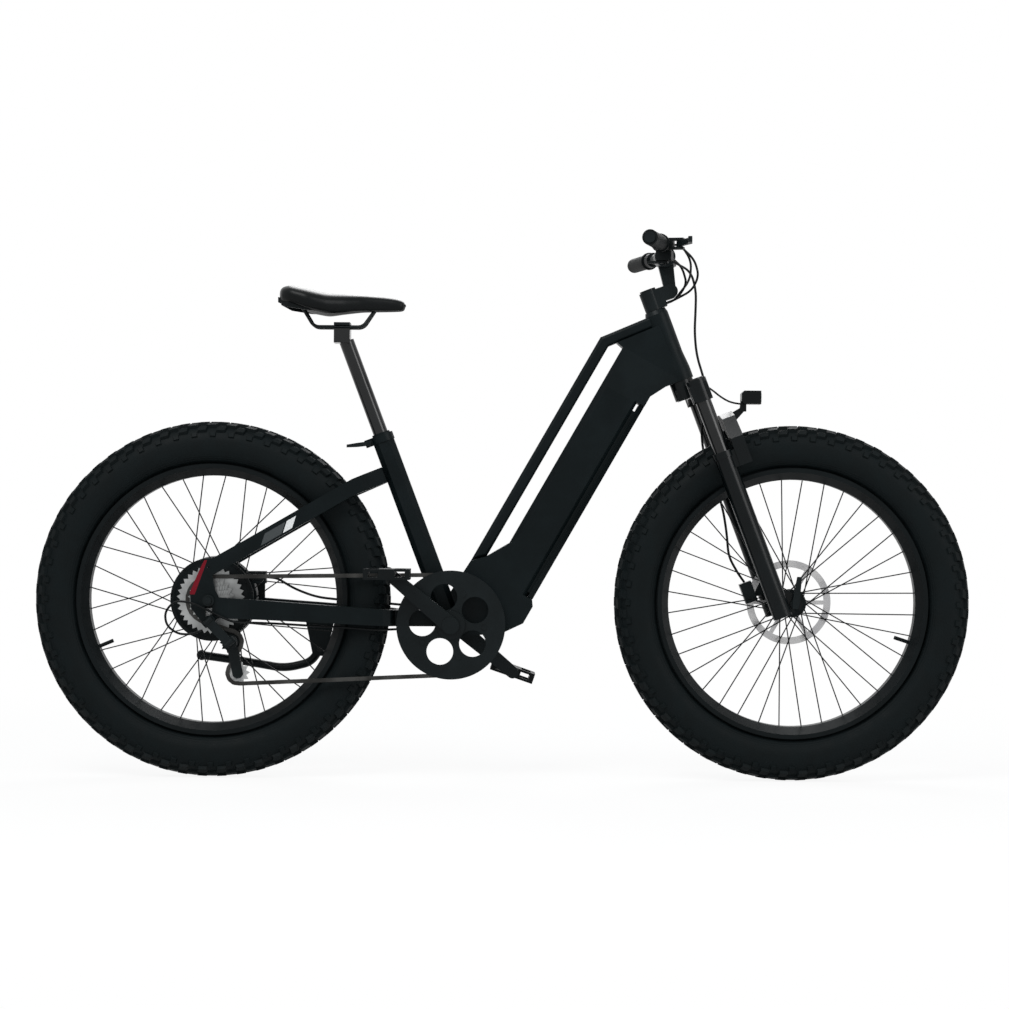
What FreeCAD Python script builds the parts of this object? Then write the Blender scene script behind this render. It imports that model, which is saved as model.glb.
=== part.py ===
import FreeCAD, Part
import math
import os
import Sketcher
from types import SimpleNamespace
from FreeCAD import Placement, Rotation, Vector

# An electric fat tire bike. +X is forward, +Z is up, the drive side faces -Y, and the origin lies on the
# ground midway between the wheels. Lengths are millimetres, angles are degrees.

SIZES = {
    # Clearances shared by all pieces
    "overrun": 20,
    "running_gap": 0.1,
    "moving_gap": 0.6,
    "seat_gap": 0.05,
    # Wheels
    "wheelbase": 1227,
    "tyre_radius": 377,
    "tyre_width": 100,
    "tyre_wall": 4,
    "knob_height": 7,
    "knob_length": 34,
    "knob_width": 17,
    "shoulder_knob_width": 20,
    "knobs_per_row": 34,
    "knob_taper": 3,
    "rim_radius": 286,
    "rim_width": 80,
    "rim_lip": 3,
    "rim_depth": 24,
    "rim_bed_width": 30,
    "spoke_thickness": 2.4,
    "spokes_per_wheel": 36,
    "spoke_cross_angle": 48,
    "spoke_layer": 1.2,
    "rotor_radius": 90,
    "rotor_thickness": 2,
    "rotor_band": 15,
    "rotor_arm_width": 9,
    "rotor_arms": 6,
    "valve_radius": 4,
    "valve_length": 34,
    "front_valve_angle": -18,
    "rear_valve_angle": 203,
    # Front hub and axle
    "front_spacing": 135,
    "front_axle_radius": 4.5,
    "front_hub_flange": 29,
    "front_flange_width": 4,
    "front_flange_spread": 60,
    "front_hub_radius": 15,
    "front_hub_end": 11,
    "front_rotor_place": 52,
    "axle_nut_radius": 10,
    "axle_nut_length": 9,
    "axle_lever_length": 58,
    "axle_lever_width": 12,
    "axle_lever_thickness": 6,
    # Rear hub, axle and cassette
    "rear_spacing": 190,
    "rear_axle_radius": 7,
    "rear_nut_radius": 12,
    "rear_nut_length": 11,
    "motor_radius": 80,
    "motor_width": 100,
    "motor_rim": 10,
    "rear_flange_radius": 88,
    "rear_flange_width": 5,
    "rear_flange_spread": 70,
    "rear_boss_radius": 17,
    "rear_rotor_place": 60,
    "cassette_inner_place": 60,
    "sprocket_pitch": 5,
    "sprocket_thickness": 2,
    "sprocket_core": 24,
    # Chain and chainring
    "chain_pitch": 12.7,
    "chain_place": 65,
    "chain_inner_width": 2.5,
    "chain_plate": 1,
    "chain_plate_gap": 0.1,
    "chain_height": 8.4,
    "bushing_radius": 2.4,
    "root_depth": 4.4,
    "tooth_height": 3,
    "ring_teeth": 52,
    "running_sprocket_teeth": 24,
    "pulley_teeth": 11,
    "ring_thickness": 2,
    "ring_inner_radius": 88,
    "guard_radius": 114.5,
    "guard_window_radius": 28,
    "guard_window_place": 60,
    "guard_bolt_radius": 70,
    "guard_bolt_head": 5.5,
    "guard_place": 71,
    "guard_thickness": 3.5,
    "spider_radius": 30,
    "spider_arm_width": 16,
    "spider_arms": 5,
    "spider_turn": 68,
    # Crank and pedals
    "bb_behind": 108,
    "bb_drop": 49,
    "bb_shell_radius": 27,
    "bb_shell_width": 100,
    "bb_bore": 20,
    "bb_cup_length": 16,
    "spindle_radius": 8.5,
    "crank_length": 170,
    "crank_angle": 140.5,
    "crank_inner": 86,
    "crank_thickness": 14,
    "crank_root_width": 36,
    "crank_tip_width": 26,
    "pedal_axle_radius": 6,
    "pedal_gap": 7,
    "pedal_length": 96,
    "pedal_width": 92,
    "pedal_thickness": 22,
    "pedal_core_radius": 12,
    "pedal_rail": 10,
    "right_pedal_tilt": 0,
    "left_pedal_tilt": 19,
    # Head tube and steering
    "steering_lean": 20.7,
    "fork_rake": 56,
    "fork_length": 524,
    "head_tube_length": 150,
    "head_tube_radius": 25,
    "head_tube_base_radius": 28,
    "head_base_height": 24,
    "head_base_taper": 34,
    "head_tube_bore": 22,
    "headset_height": 9,
    "bearing_height": 12,
    "steerer_radius": 14.3,
    "steerer_bore": 11.5,
    # Fork
    "leg_offset": 22.8,
    "leg_spread": 180,
    "stanchion_radius": 16.5,
    "stanchion_bore": 13,
    "stanchion_top": 20,
    "stanchion_length": 320,
    "crown_top": 10,
    "crown_depth": 45,
    "crown_middle_depth": 32,
    "crown_sleeve_radius": 22,
    "crown_reach": 20,
    "lowers_top": 171,
    "lowers_bottom": 540,
    "lowers_radius": 20.5,
    "seal_radius": 22.5,
    "seal_height": 14,
    "fork_travel": 80,
    "arch_top": 97,
    "arch_thickness": 34,
    "arch_front": 75,
    "arch_back": 47.5,
    "dropout_thickness": 10,
    "dropout_height": 40,
    # Headlight
    "light_length": 41.5,
    "light_height": 28.7,
    "light_width": 42,
    "light_x": 524.6,
    "light_z": 813,
    "light_pivot_radius": 4,
    "light_ear": 6,
    "light_arm": 12,
    # Stem, handlebar and controls
    "stem_bottom": 160,
    "stem_height": 42,
    "stem_radius": 20,
    "stem_hinge_reach": 44.8,
    "stem_hinge_height": 186,
    "stem_hinge_radius": 15,
    "stem_width": 36,
    "stem_fork_wall": 8,
    "bar_reach": 58,
    "bar_height": 258,
    "bar_radius": 11.1,
    "bar_clamp_radius": 15.9,
    "bar_clamp_width": 60,
    "faceplate_wall": 6,
    "bar_width": 690,
    "bar_bend_start": 55,
    "bar_bend_end": 150,
    "bar_rise": 11,
    "bar_sweep": 49,
    "bar_bend_radius": 60,
    "grip_radius": 16,
    "grip_length": 130,
    "bracket_width": 22,
    "bracket_wall": 5,
    "bracket_reach": 36,
    "lever_thickness": 8,
    "lever_height": 12,
    "lever_length": 100,
    "lever_pivot_radius": 3,
    "shifter_width": 30,
    "shifter_drop": 32,
    "shift_lever_length": 34,
    "shift_lever_thickness": 5,
    "display_width": 62,
    "display_height": 40,
    "display_thickness": 14,
    # Down tube and upper tube, measured along and across the down tube from the crank axis
    "tube_lean": 29.7,
    "tube_front": 122.5,
    "tube_depth": 102,
    "tube_width": 78,
    "tube_chamfer": 12,
    "tube_wall": 6,
    "head_width": 52,
    "head_taper_start": 600,
    "head_taper_end": 690,
    "tube_head_height": 603,
    "slot_bottom": 162,
    "slot_slope": 48,
    "slot_gap": 27.5,
    "upper_tube_depth": 24.5,
    "upper_tube_width": 34,
    "upper_tube_round": 7,
    "upper_tube_kink": 685,
    "upper_tube_rise": 52.7,
    "upper_tube_end": 124,
    "shell_step": 8,
    "shell_low": 70,
    "shell_high": 119,
    # Battery in the down tube
    "battery_bottom": 131,
    "battery_length": 471,
    "battery_cover": 12,
    "battery_depth": 61,
    "battery_width": 64,
    "battery_end_gap": 9,
    # Seat tube and seatpost
    "seat_lean": 20.8,
    "seat_tube_depth": 45,
    "seat_tube_width": 42,
    "seat_tube_corner": 11,
    "seat_tube_length": 412,
    "seat_neck_radius": 19.5,
    "seat_neck_height": 20,
    "seatpost_radius": 15.8,
    "seatpost_bottom": 260,
    "seatpost_top": 640,
    "clamp_wall": 5,
    "clamp_height": 16,
    "clamp_ear": 14,
    "clamp_ear_width": 20,
    "clamp_lever_length": 46,
    "clamp_lever_width": 10,
    "clamp_lever_thickness": 6,
    # Chainstays and seatstays
    "stay_gap": 58,
    "stay_thickness": 22,
    "plate_thickness": 8,
    "chainstay_rear_height": 43,
    "chainstay_front_height": 34,
    "yoke_x": 226,
    "yoke_width": 112,
    "yoke_end_width": 96,
    "seatstay_height": 36,
    "seatstay_bend_x": 318,
    "seatstay_bend_z": 615,
    "seatstay_rear_z": 447,
    "seatstay_top_x": 240,
    "seatstay_top_z": 648,
    "seatstay_top_inner": 6,
    "seatstay_top_outer": 22,
    "rack_boss_radius": 7,
    "rack_boss_length": 5,
    "rack_thread_radius": 2.5,
    # Saddle
    "saddle_length": 268,
    "saddle_width": 170,
    "saddle_nose_width": 42,
    "saddle_rear_x": -478,
    "saddle_rear_z": 1040,
    "saddle_drop": 24,
    "saddle_pad": 22,
    "saddle_skirt": 40,
    "rail_radius": 3.5,
    "rail_spread": 44,
    "rail_clamp_length": 34,
    "rail_drop": 30,
    # Kickstand
    "kickstand_x": -392,
    "kickstand_z": 268,
    "kickstand_plate_length": 62,
    "kickstand_plate_thickness": 8,
    "kickstand_radius": 9,
    "kickstand_pivot_radius": 6,
    # Derailleur
    "guide_x": -569,
    "guide_z": 289,
    "cage_length": 67,
    "cage_angle": -75.8,
    "cage_half_width": 6,
    "cage_plate": 2,
    "cage_round": 11,
    "pulley_thickness": 2,
    "pulley_bolt_radius": 2.5,
    "link_length": 58,
    "link_slope": -26.6,
    "link_place": 114,
    "link_thickness": 8,
    "link_height": 20,
    "knuckle_setback": 6,
    "knuckle_radius": 15,
    # Brakes and cables
    "caliper_length": 44,
    "caliper_height": 26,
    "caliper_width": 28,
    "caliper_inner": 8.5,
    "caliper_slot": 4,
    "cable_radius": 2.4,
    "hose_radius": 2.6,
}

TYRE_SHARES = ((0.80, 0.0), (1.0, 0.37), (0.89, 0.78), (0.38, 1.0))
SPROCKET_TEETH = (34, 24, 22, 20, 18, 16, 14)

doc = FreeCAD.newDocument("FatTireBike")
sheet = doc.addObject("Spreadsheet::Sheet", "Sizes")
for row, (alias, number) in enumerate(SIZES.items(), 1):
    sheet.set(f"A{row}", alias)
    sheet.set(f"B{row}", str(number))
    sheet.setAlias(f"B{row}", alias)
doc.recompute()


# A size keeps its number and the expression on the sheet that gives it.
class Cell:
    def __init__(self, value, text):
        self.value = value
        self.text = text

    def __float__(self):
        return float(self.value)

    def __neg__(self):
        return Cell(-self.value, f"(-{self.text})")

    def __add__(self, other):
        return Cell(self.value + float(other), f"({self.text} + {cell(other).text})")

    def __radd__(self, other):
        return cell(other) + self

    def __sub__(self, other):
        return Cell(self.value - float(other), f"({self.text} - {cell(other).text})")

    def __rsub__(self, other):
        return cell(other) - self

    def __mul__(self, other):
        return Cell(self.value * float(other), f"({self.text} * {cell(other).text})")

    def __rmul__(self, other):
        return cell(other) * self

    def __truediv__(self, other):
        return Cell(self.value / float(other), f"({self.text} / {cell(other).text})")


def cell(size):
    if isinstance(size, Cell):
        return size
    return Cell(float(size), f"{float(size):.9f}")


def sin(angle):
    return Cell(math.sin(math.radians(float(angle))), f"sin({cell(angle).text})")


def cos(angle):
    return Cell(math.cos(math.radians(float(angle))), f"cos({cell(angle).text})")


S = SimpleNamespace(**{alias: Cell(float(sheet.get(alias)), f"Sizes.{alias}") for alias in SIZES})
subparts = []


def bind(thing, **sizes):
    for name, size in sizes.items():
        thing.setExpression(name, cell(size).text)


def keep(thing, label):
    thing.Label = label
    subparts.append(thing)
    return thing


def put(thing, x, y, z, axis, angle):
    turn = Rotation(Vector(*axis), float(angle))
    thing.Placement = Placement(Vector(float(x), float(y), float(z)), turn)
    for name, size in (("x", x), ("y", y), ("z", z)):
        thing.setExpression(f"Placement.Base.{name}", cell(size).text)
    if isinstance(angle, Cell):
        thing.setExpression("Placement.Rotation.Angle", angle.text)
    return thing


# A leaning frame in the side view: u runs forward across it, w runs up along it.
class Lean:
    def __init__(self, x, z, angle):
        self.x = x
        self.z = z
        self.angle = cell(angle)

    def point(self, u, w):
        c, s = cos(self.angle), sin(self.angle)
        return self.x + u * c + w * s, self.z - u * s + w * c

    def local(self, x, z):
        c, s = cos(self.angle), sin(self.angle)
        return (x - self.x) * c - (z - self.z) * s, (x - self.x) * s + (z - self.z) * c

    def hold(self, thing, u=0, y=0, w=0):
        x, z = self.point(u, w)
        return put(thing, x, y, z, (0, 1, 0), self.angle)


rear_x = -S.wheelbase / 2
front_x = S.wheelbase / 2
axle_z = S.tyre_radius
bb_x = -S.bb_behind
bb_z = axle_z - S.bb_drop
crown_x = front_x - S.fork_rake * cos(S.steering_lean) - S.fork_length * sin(S.steering_lean)
crown_z = axle_z - S.fork_rake * sin(S.steering_lean) + S.fork_length * cos(S.steering_lean)
level = Lean(cell(0), cell(0), 0)
steering = Lean(crown_x, crown_z, -S.steering_lean)
tube = Lean(bb_x, bb_z, S.tube_lean)
seat = Lean(bb_x, bb_z, -S.seat_lean)


def origin_plane(body, role):
    return next(plane for plane in body.Origin.OriginFeatures if plane.Role == role)


def outline(body, name, role, points, start=0):
    sketch = body.newObject("Sketcher::SketchObject", name)
    sketch.AttachmentSupport = [(origin_plane(body, role), "")]
    sketch.MapMode = "FlatFace"
    bind(sketch, **{"AttachmentOffset.Base.z": start})
    corners = [Vector(float(x), float(y), 0) for x, y in points]
    for first, last in zip(corners, corners[1:] + corners[:1]):
        sketch.addGeometry(Part.LineSegment(first, last))
    for i in range(len(corners)):
        sketch.addConstraint(Sketcher.Constraint("Coincident", i, 2, (i + 1) % len(corners), 1))
    for i, point in enumerate(points):
        for kind, size in zip(("DistanceX", "DistanceY"), point):
            index = sketch.addConstraint(Sketcher.Constraint(kind, i, 1, float(size)))
            sketch.setExpression(f"Constraints[{index}]", cell(size).text)
    return sketch


# A flat outline padded along its plane's normal; on the side plane the normal points to the drive side.
def padded(name, role, points, start, length):
    body = doc.addObject("PartDesign::Body", name)
    pad = body.newObject("PartDesign::Pad", name + "Pad")
    pad.Profile = outline(body, name + "Outline", role, points, start)
    bind(pad, Length=length)
    body.Tip = pad
    return body


def side_plate(name, points, near, far):
    return padded(name, "XZ_Plane", points, -far, far - near)


# A profile of (radius, along) points turned about the body's own upward axis.
def turned(name, points):
    body = doc.addObject("PartDesign::Body", name)
    sketch = outline(body, name + "Profile", "XZ_Plane", points)
    turn = body.newObject("PartDesign::Revolution", name + "Turn")
    turn.Profile = sketch
    turn.ReferenceAxis = (sketch, ["V_Axis"])
    turn.Angle = 360
    body.Tip = turn
    return body


def across(thing, spot, y):
    return put(thing, spot[0], y, spot[1], (1, 0, 0), 90)


def soften(body, kind, size, wanted):
    doc.recompute()
    base = body.Tip
    names = [f"Edge{i}" for i, edge in enumerate(base.Shape.Edges, 1) if wanted(edge)]
    feature = body.newObject(f"PartDesign::{kind}", body.Name + kind)
    feature.Base = (base, names)
    bind(feature, **{"Radius" if kind == "Fillet" else "Size": size})
    body.Tip = feature
    return body


def rod(name, radius, low, high, spot):
    cylinder = doc.addObject("Part::Cylinder", name)
    bind(cylinder, Radius=radius, Height=high - low)
    return across(cylinder, spot, high)


def post(name, radius, low, high, frame, u=0, y=0):
    cylinder = doc.addObject("Part::Cylinder", name)
    bind(cylinder, Radius=radius, Height=high - low)
    return frame.hold(cylinder, u, y, low)


def block(name, lows, highs, frame):
    box = doc.addObject("Part::Box", name)
    bind(box, Length=highs[0] - lows[0], Width=highs[1] - lows[1], Height=highs[2] - lows[2])
    return frame.hold(box, *lows)


def fuse(name, things):
    made = doc.addObject("Part::MultiFuse", name)
    made.Shapes = things
    return made


def cut(name, base, tools):
    made = doc.addObject("Part::Cut", name)
    made.Base = base
    made.Tool = tools[0] if len(tools) == 1 else fuse(name + "Tools", tools)
    return made


def common(name, first, second):
    made = doc.addObject("Part::Common", name)
    made.Base = first
    made.Tool = second
    return made


def group(name, things):
    made = doc.addObject("Part::Compound", name)
    made.Links = things
    return made


def mirror(name, source):
    made = doc.addObject("Part::Mirroring", name)
    made.Source = source
    made.Normal = Vector(0, 1, 0)
    return made


def feature(name, shape):
    made = doc.addObject("Part::Feature", name)
    made.Shape = shape
    return made


# A tube whose route runs straight between points, with arcs as large as the runs beside them allow.
def route_wire(points, arc_share, most=None):
    edges = []
    start = points[0]
    for before, here, after in zip(points, points[1:], points[2:]):
        inward = (before - here).normalize()
        onward = (after - here).normalize()
        half_turn = (math.pi - inward.getAngle(onward)) / 2
        room = arc_share * min((before - here).Length, (after - here).Length)
        radius = room / math.tan(half_turn)
        if most is not None and radius > most:
            radius = most
            room = radius * math.tan(half_turn)
        first, last = here + inward * room, here + onward * room
        middle = (inward + onward).normalize()
        centre = here + middle * (radius / math.cos(half_turn))
        edges.append(Part.LineSegment(start, first).toShape())
        edges.append(Part.Arc(first, centre - middle * radius, last).toShape())
        start = last
    edges.append(Part.LineSegment(start, points[-1]).toShape())
    return Part.Wire(edges)


def swept(wire, radius):
    first = wire.Edges[0]
    way = first.tangentAt(first.FirstParameter)
    ring = Part.Wire(Part.Circle(first.Vertexes[0].Point, way, float(radius)).toShape())
    tube_shape = wire.makePipeShell([ring], True, False)
    return tube_shape


ROUTE_ARC_SHARE = 0.45


def cord(points, radius):
    return swept(route_wire([Vector(*point) for point in points], ROUTE_ARC_SHARE), radius)


def prism(corners, way):
    return Part.Face(Part.makePolygon(corners + corners[:1])).extrude(way)


# Head tube, with the flared base that takes the lower bearing
def head_tube():
    top = S.head_tube_length
    taper = S.head_base_height + S.head_base_taper
    profile = (
        (S.head_tube_bore, 0),
        (S.head_tube_base_radius, 0),
        (S.head_tube_base_radius, S.head_base_height),
        (S.head_tube_radius, taper),
        (S.head_tube_radius, top),
        (S.head_tube_bore, top),
    )
    keep(steering.hold(turned("HeadTube", profile)), "head_tube")


def head_tube_space(name):
    top = S.head_tube_length + S.overrun
    taper = S.head_base_height + S.head_base_taper
    profile = (
        (0, -S.overrun),
        (S.head_tube_base_radius, -S.overrun),
        (S.head_tube_base_radius, S.head_base_height),
        (S.head_tube_radius, taper),
        (S.head_tube_radius, top),
        (0, top),
    )
    return steering.hold(turned(name, profile))


def bb_space(name):
    half = S.bb_shell_width / 2 + S.overrun
    return rod(name, S.bb_shell_radius, -half, half, (bb_x, bb_z))


def upper_inner():
    return S.tube_front - S.tube_depth - S.slot_gap


def upper_edge(offset, along):
    u = upper_inner() - S.upper_tube_depth + along * cos(S.upper_tube_rise) + offset * sin(S.upper_tube_rise)
    w = S.upper_tube_kink + along * sin(S.upper_tube_rise) - offset * cos(S.upper_tube_rise)
    return u, w


# Thin upper tube: it runs beside the down tube, bends at its kink and ends on the head tube
def top_tube():
    inner = upper_inner()
    outer = inner - S.upper_tube_depth
    wall = S.upper_tube_depth
    inner_kink = S.upper_tube_kink + wall * (sin(S.upper_tube_rise) - 1) / cos(S.upper_tube_rise)
    points = (
        (outer, S.slot_bottom - S.upper_tube_depth),
        (outer, S.upper_tube_kink),
        upper_edge(0, S.upper_tube_end),
        upper_edge(wall, S.upper_tube_end),
        (inner, inner_kink),
        (inner, S.slot_bottom),
    )
    half = S.upper_tube_width / 2
    body = side_plate("TopTubeBar", points, -half, half)
    soften(body, "Fillet", S.upper_tube_round, lambda edge: runs_on_sides(edge, half))
    tube.hold(body)
    keep(cut("TopTube", body, [head_tube_space("TopTubeHead")]), "top_tube")


def runs_on_sides(edge, half):
    box = edge.BoundBox
    flat = box.YLength < 1e-6 and abs(abs(box.YMin) - float(half)) < 1e-6
    return flat and edge.Length > float(half) * 2


# Deep down tube: shell round the crank axis, channel for the battery, head that narrows to the head tube
def down_tube():
    front = S.tube_front
    back = front - S.tube_depth
    inner = upper_inner()
    wall = S.upper_tube_depth
    inner_kink = S.upper_tube_kink + wall * (sin(S.upper_tube_rise) - 1) / cos(S.upper_tube_rise)
    slot_end = upper_edge(wall, S.slot_gap)
    seat_low = tube.local(*seat.point(S.seat_tube_depth / 2, 0))
    seat_apex = tube.local(*seat.point(S.seat_tube_depth / 2, S.bb_shell_radius * 2.4))
    head_low = tube.local(*steering.point(0, 0))
    head_high = upper_edge(wall, S.upper_tube_end)
    neck = tube.local(*steering.point(-S.head_tube_base_radius * 1.2, 0))
    cover = front - S.battery_cover
    ledge = S.battery_bottom - S.moving_gap
    points = (
        (back, S.slot_bottom + S.slot_slope),
        (inner, S.slot_bottom),
        (inner - wall, S.slot_bottom - wall),
        seat_apex,
        seat_low,
        (S.bb_shell_radius / 2, -S.bb_shell_radius),
        (front - S.bb_shell_radius * 0.6, S.bb_shell_radius * 1.6),
        (front + S.shell_step, S.shell_low + S.shell_step),
        (front + S.shell_step, S.shell_high),
        (front, ledge),
        (cover, ledge),
        (cover, S.tube_head_height),
        (front, S.tube_head_height),
        (front, S.tube_head_height + S.head_tube_radius),
        neck,
        head_low,
        head_high,
        slot_end,
        (back, inner_kink + S.upper_tube_depth / 2),
    )
    half = S.tube_width / 2
    side = side_plate("DownTubeSide", points, -half, half)
    soften(side, "Chamfer", S.tube_chamfer, lambda edge: runs_on_sides(edge, half) and edge.Length > 300)
    low = -S.bb_shell_radius * 2
    high = S.tube_head_height + S.fork_length
    narrow = S.head_width / 2
    front_points = (
        (-half, low),
        (half, low),
        (half, S.head_taper_start),
        (narrow, S.head_taper_end),
        (narrow, high),
        (-narrow, high),
        (-narrow, S.head_taper_end),
        (-half, S.head_taper_start),
    )
    reach = S.tube_front * 2
    ahead = padded("DownTubeFront", "YZ_Plane", front_points, -reach, reach * 2)
    shell = common("DownTubeShell", tube.hold(side), tube.hold(ahead))
    channel_half = S.battery_width / 2 + S.moving_gap
    channel = block(
        "BatteryChannel",
        (back + S.tube_wall, -channel_half, S.battery_bottom + S.battery_end_gap),
        (front + S.overrun, channel_half, S.tube_head_height - S.moving_gap),
        tube,
    )
    tools = [channel, head_tube_space("DownTubeHead"), bb_space("DownTubeCrank")]
    keep(cut("DownTube", shell, tools), "down_tube")


# Battery pack: the block in the channel and the chamfered cover that closes the tube's underside
def battery_pack():
    front = S.tube_front
    inner = front - S.battery_cover + S.moving_gap
    half = S.tube_width / 2
    low = S.battery_bottom + S.moving_gap
    high = S.battery_bottom + S.battery_length - S.moving_gap
    bevel = S.battery_cover - S.moving_gap * 2
    points = (
        (inner, -half),
        (front - bevel, -half),
        (front, -half + bevel),
        (front, half - bevel),
        (front - bevel, half),
        (inner, half),
    )
    cover = padded("BatteryCover", "XY_Plane", points, low, high - low)
    pack_half = S.battery_width / 2
    pack = block(
        "BatteryBlock",
        (inner - S.battery_depth, -pack_half, low + S.battery_end_gap),
        (inner, pack_half, high - S.battery_end_gap * 2),
        tube,
    )
    keep(fuse("BatteryPack", [tube.hold(cover), pack]), "battery_pack")


# Seat tube: a chamfered square tube with a round neck for the clamp and the seatpost's bore
def seat_tube():
    deep = S.seat_tube_depth / 2
    wide = S.seat_tube_width / 2
    corner = S.seat_tube_corner
    points = (
        (-deep, -wide + corner),
        (-deep + corner, -wide),
        (deep - corner, -wide),
        (deep, -wide + corner),
        (deep, wide - corner),
        (deep - corner, wide),
        (-deep + corner, wide),
        (-deep, wide - corner),
    )
    bar = seat.hold(padded("SeatTubeBar", "XY_Plane", points, 0, S.seat_tube_length))
    top = S.seat_tube_length + S.seat_neck_height
    neck = post("SeatTubeNeck", S.seat_neck_radius, S.seat_tube_length - S.overrun, top, seat)
    bore_radius = S.seatpost_radius + S.running_gap
    bore = post("SeatTubeBore", bore_radius, S.seatpost_bottom / 2, top + S.overrun, seat)
    whole = fuse("SeatTubeWhole", [bar, neck])
    keep(cut("SeatTube", whole, [bore, bb_space("SeatTubeCrank")]), "seat_tube")


def bottom_bracket_shell():
    half = S.bb_shell_width / 2
    outer = rod("ShellOuter", S.bb_shell_radius, -half, half, (bb_x, bb_z))
    bore = rod("ShellBore", S.bb_bore, -half - S.overrun, half + S.overrun, (bb_x, bb_z))
    keep(cut("CrankShell", outer, [bore]), "bottom_bracket_shell")


def ring(name, inner, outer, low, high):
    return turned(name, ((inner, low), (outer, low), (outer, high), (inner, high)))


# Headset bearings in the head tube and bearing cups in the crank shell
def bearings():
    inner = S.steerer_radius + S.running_gap
    outer = S.head_tube_bore - S.seat_gap
    top = S.head_tube_length
    lower = steering.hold(ring("LowerBearing", inner, outer, 0, S.bearing_height))
    upper_profile = (
        (inner, top - S.bearing_height),
        (outer, top - S.bearing_height),
        (outer, top + S.seat_gap),
        (S.head_tube_radius, top + S.seat_gap),
        (S.head_tube_radius - S.headset_height / 3, top + S.headset_height),
        (inner, top + S.headset_height),
    )
    upper = steering.hold(turned("UpperBearing", upper_profile))
    cups = []
    half = S.bb_shell_width / 2
    for name, low in (("DriveCup", half - S.bb_cup_length), ("FarCup", -half)):
        cup = ring(name, S.spindle_radius + S.running_gap, S.bb_bore - S.seat_gap, low, low + S.bb_cup_length)
        cups.append(across(cup, (bb_x, bb_z), 0))
    keep(group("Bearings", [lower, upper] + cups), "bearings")


# Chainstays: an arm beside each side of the tyre, the yoke before it and the plate for the kickstand
def chainstays():
    stay_in = S.stay_gap
    stay_out = S.stay_gap + S.stay_thickness
    drop_in = S.rear_spacing / 2
    drop_out = drop_in + S.plate_thickness
    rear = rear_x + S.rear_axle_radius * 3
    front = -S.yoke_x
    flare = S.rear_spacing * 0.21
    plan = (
        (rear, -drop_out),
        (rear + flare * 0.5, -drop_out),
        (rear + flare * 1.5, -stay_out - S.plate_thickness),
        (rear + flare * 2.6, -stay_out - S.plate_thickness / 2),
        (front - S.stay_thickness * 1.1, -stay_out),
        (front - S.stay_thickness * 0.4, -stay_out + S.plate_thickness),
        (front, -S.yoke_width / 2),
        (front, -S.yoke_width / 2 + S.stay_thickness),
        (front - S.stay_thickness * 1.7, -stay_in),
        (rear + flare * 2.6, -stay_in - S.plate_thickness / 2),
        (rear + flare * 1.5, -stay_in - S.plate_thickness * 1.7),
        (rear + flare * 0.5, -drop_in),
        (rear, -drop_in),
    )
    rear_mid = axle_z - S.chainstay_rear_height * 0.36
    front_mid = bb_z + S.chainstay_front_height * 0.38
    side = (
        (rear, rear_mid - S.chainstay_rear_height / 2),
        (front, front_mid - S.chainstay_front_height / 2),
        (front, front_mid + S.chainstay_front_height / 2),
        (rear, rear_mid + S.chainstay_rear_height / 2),
    )
    top = padded("ChainstayPlan", "XY_Plane", plan, 0, axle_z * 2)
    flank = side_plate("ChainstaySide", side, -drop_out - S.overrun, 0)
    drive = common("DriveChainstay", top, flank)
    yoke_points = (
        (front, -S.yoke_width / 2),
        (bb_x, -S.yoke_end_width / 2),
        (bb_x, S.yoke_end_width / 2),
        (front, S.yoke_width / 2),
    )
    low = front_mid - S.chainstay_front_height / 2
    yoke_bar = padded("YokeBar", "XY_Plane", yoke_points, low, S.chainstay_front_height)
    seat_space = seat_tube_space("YokeSeat")
    yoke = cut("Yoke", yoke_bar, [bb_space("YokeCrank"), seat_space])
    keep(group("Chainstays", [drive, mirror("FarChainstay", drive), yoke, kickstand_plate()]), "chainstays")


def seat_tube_space(name):
    deep = S.seat_tube_depth / 2
    wide = S.bb_shell_width
    return block(name, (-deep, -wide, -S.overrun), (deep * 4, wide, S.seat_tube_length), seat)


def chainstay_top(x):
    rear = rear_x + S.rear_axle_radius * 3
    rear_top = axle_z + S.chainstay_rear_height * 0.14
    front_top = bb_z + S.chainstay_front_height * 0.88
    return rear_top + (front_top - rear_top) * ((x - rear) / (-S.yoke_x - rear))


def chainstay_underside(x):
    rear = rear_x + S.rear_axle_radius * 3
    rear_low = axle_z - S.chainstay_rear_height * 0.86
    front_low = bb_z - S.chainstay_front_height * 0.12
    return rear_low + (front_low - rear_low) * ((x - rear) / (-S.yoke_x - rear))


# Plate under the far chainstay, with the bore that the kickstand turns in
def kickstand_plate():
    half = S.kickstand_plate_length / 2
    near = S.stay_gap + S.plate_thickness
    top_back = chainstay_underside(S.kickstand_x - half)
    top_front = chainstay_underside(S.kickstand_x + half)
    boss = S.kickstand_radius * 1.6
    points = (
        (S.kickstand_x - half, top_back),
        (S.kickstand_x - boss, S.kickstand_z - boss),
        (S.kickstand_x + boss, S.kickstand_z - boss),
        (S.kickstand_x + half, top_front),
    )
    plate = side_plate("KickstandPlateBar", points, near, near + S.kickstand_plate_thickness)
    bore_radius = S.kickstand_pivot_radius + S.running_gap
    far = near + S.kickstand_plate_thickness + S.overrun
    bore = rod("KickstandBore", bore_radius, near - S.overrun, far, (S.kickstand_x, S.kickstand_z))
    return cut("KickstandPlate", plate, [bore])


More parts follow.
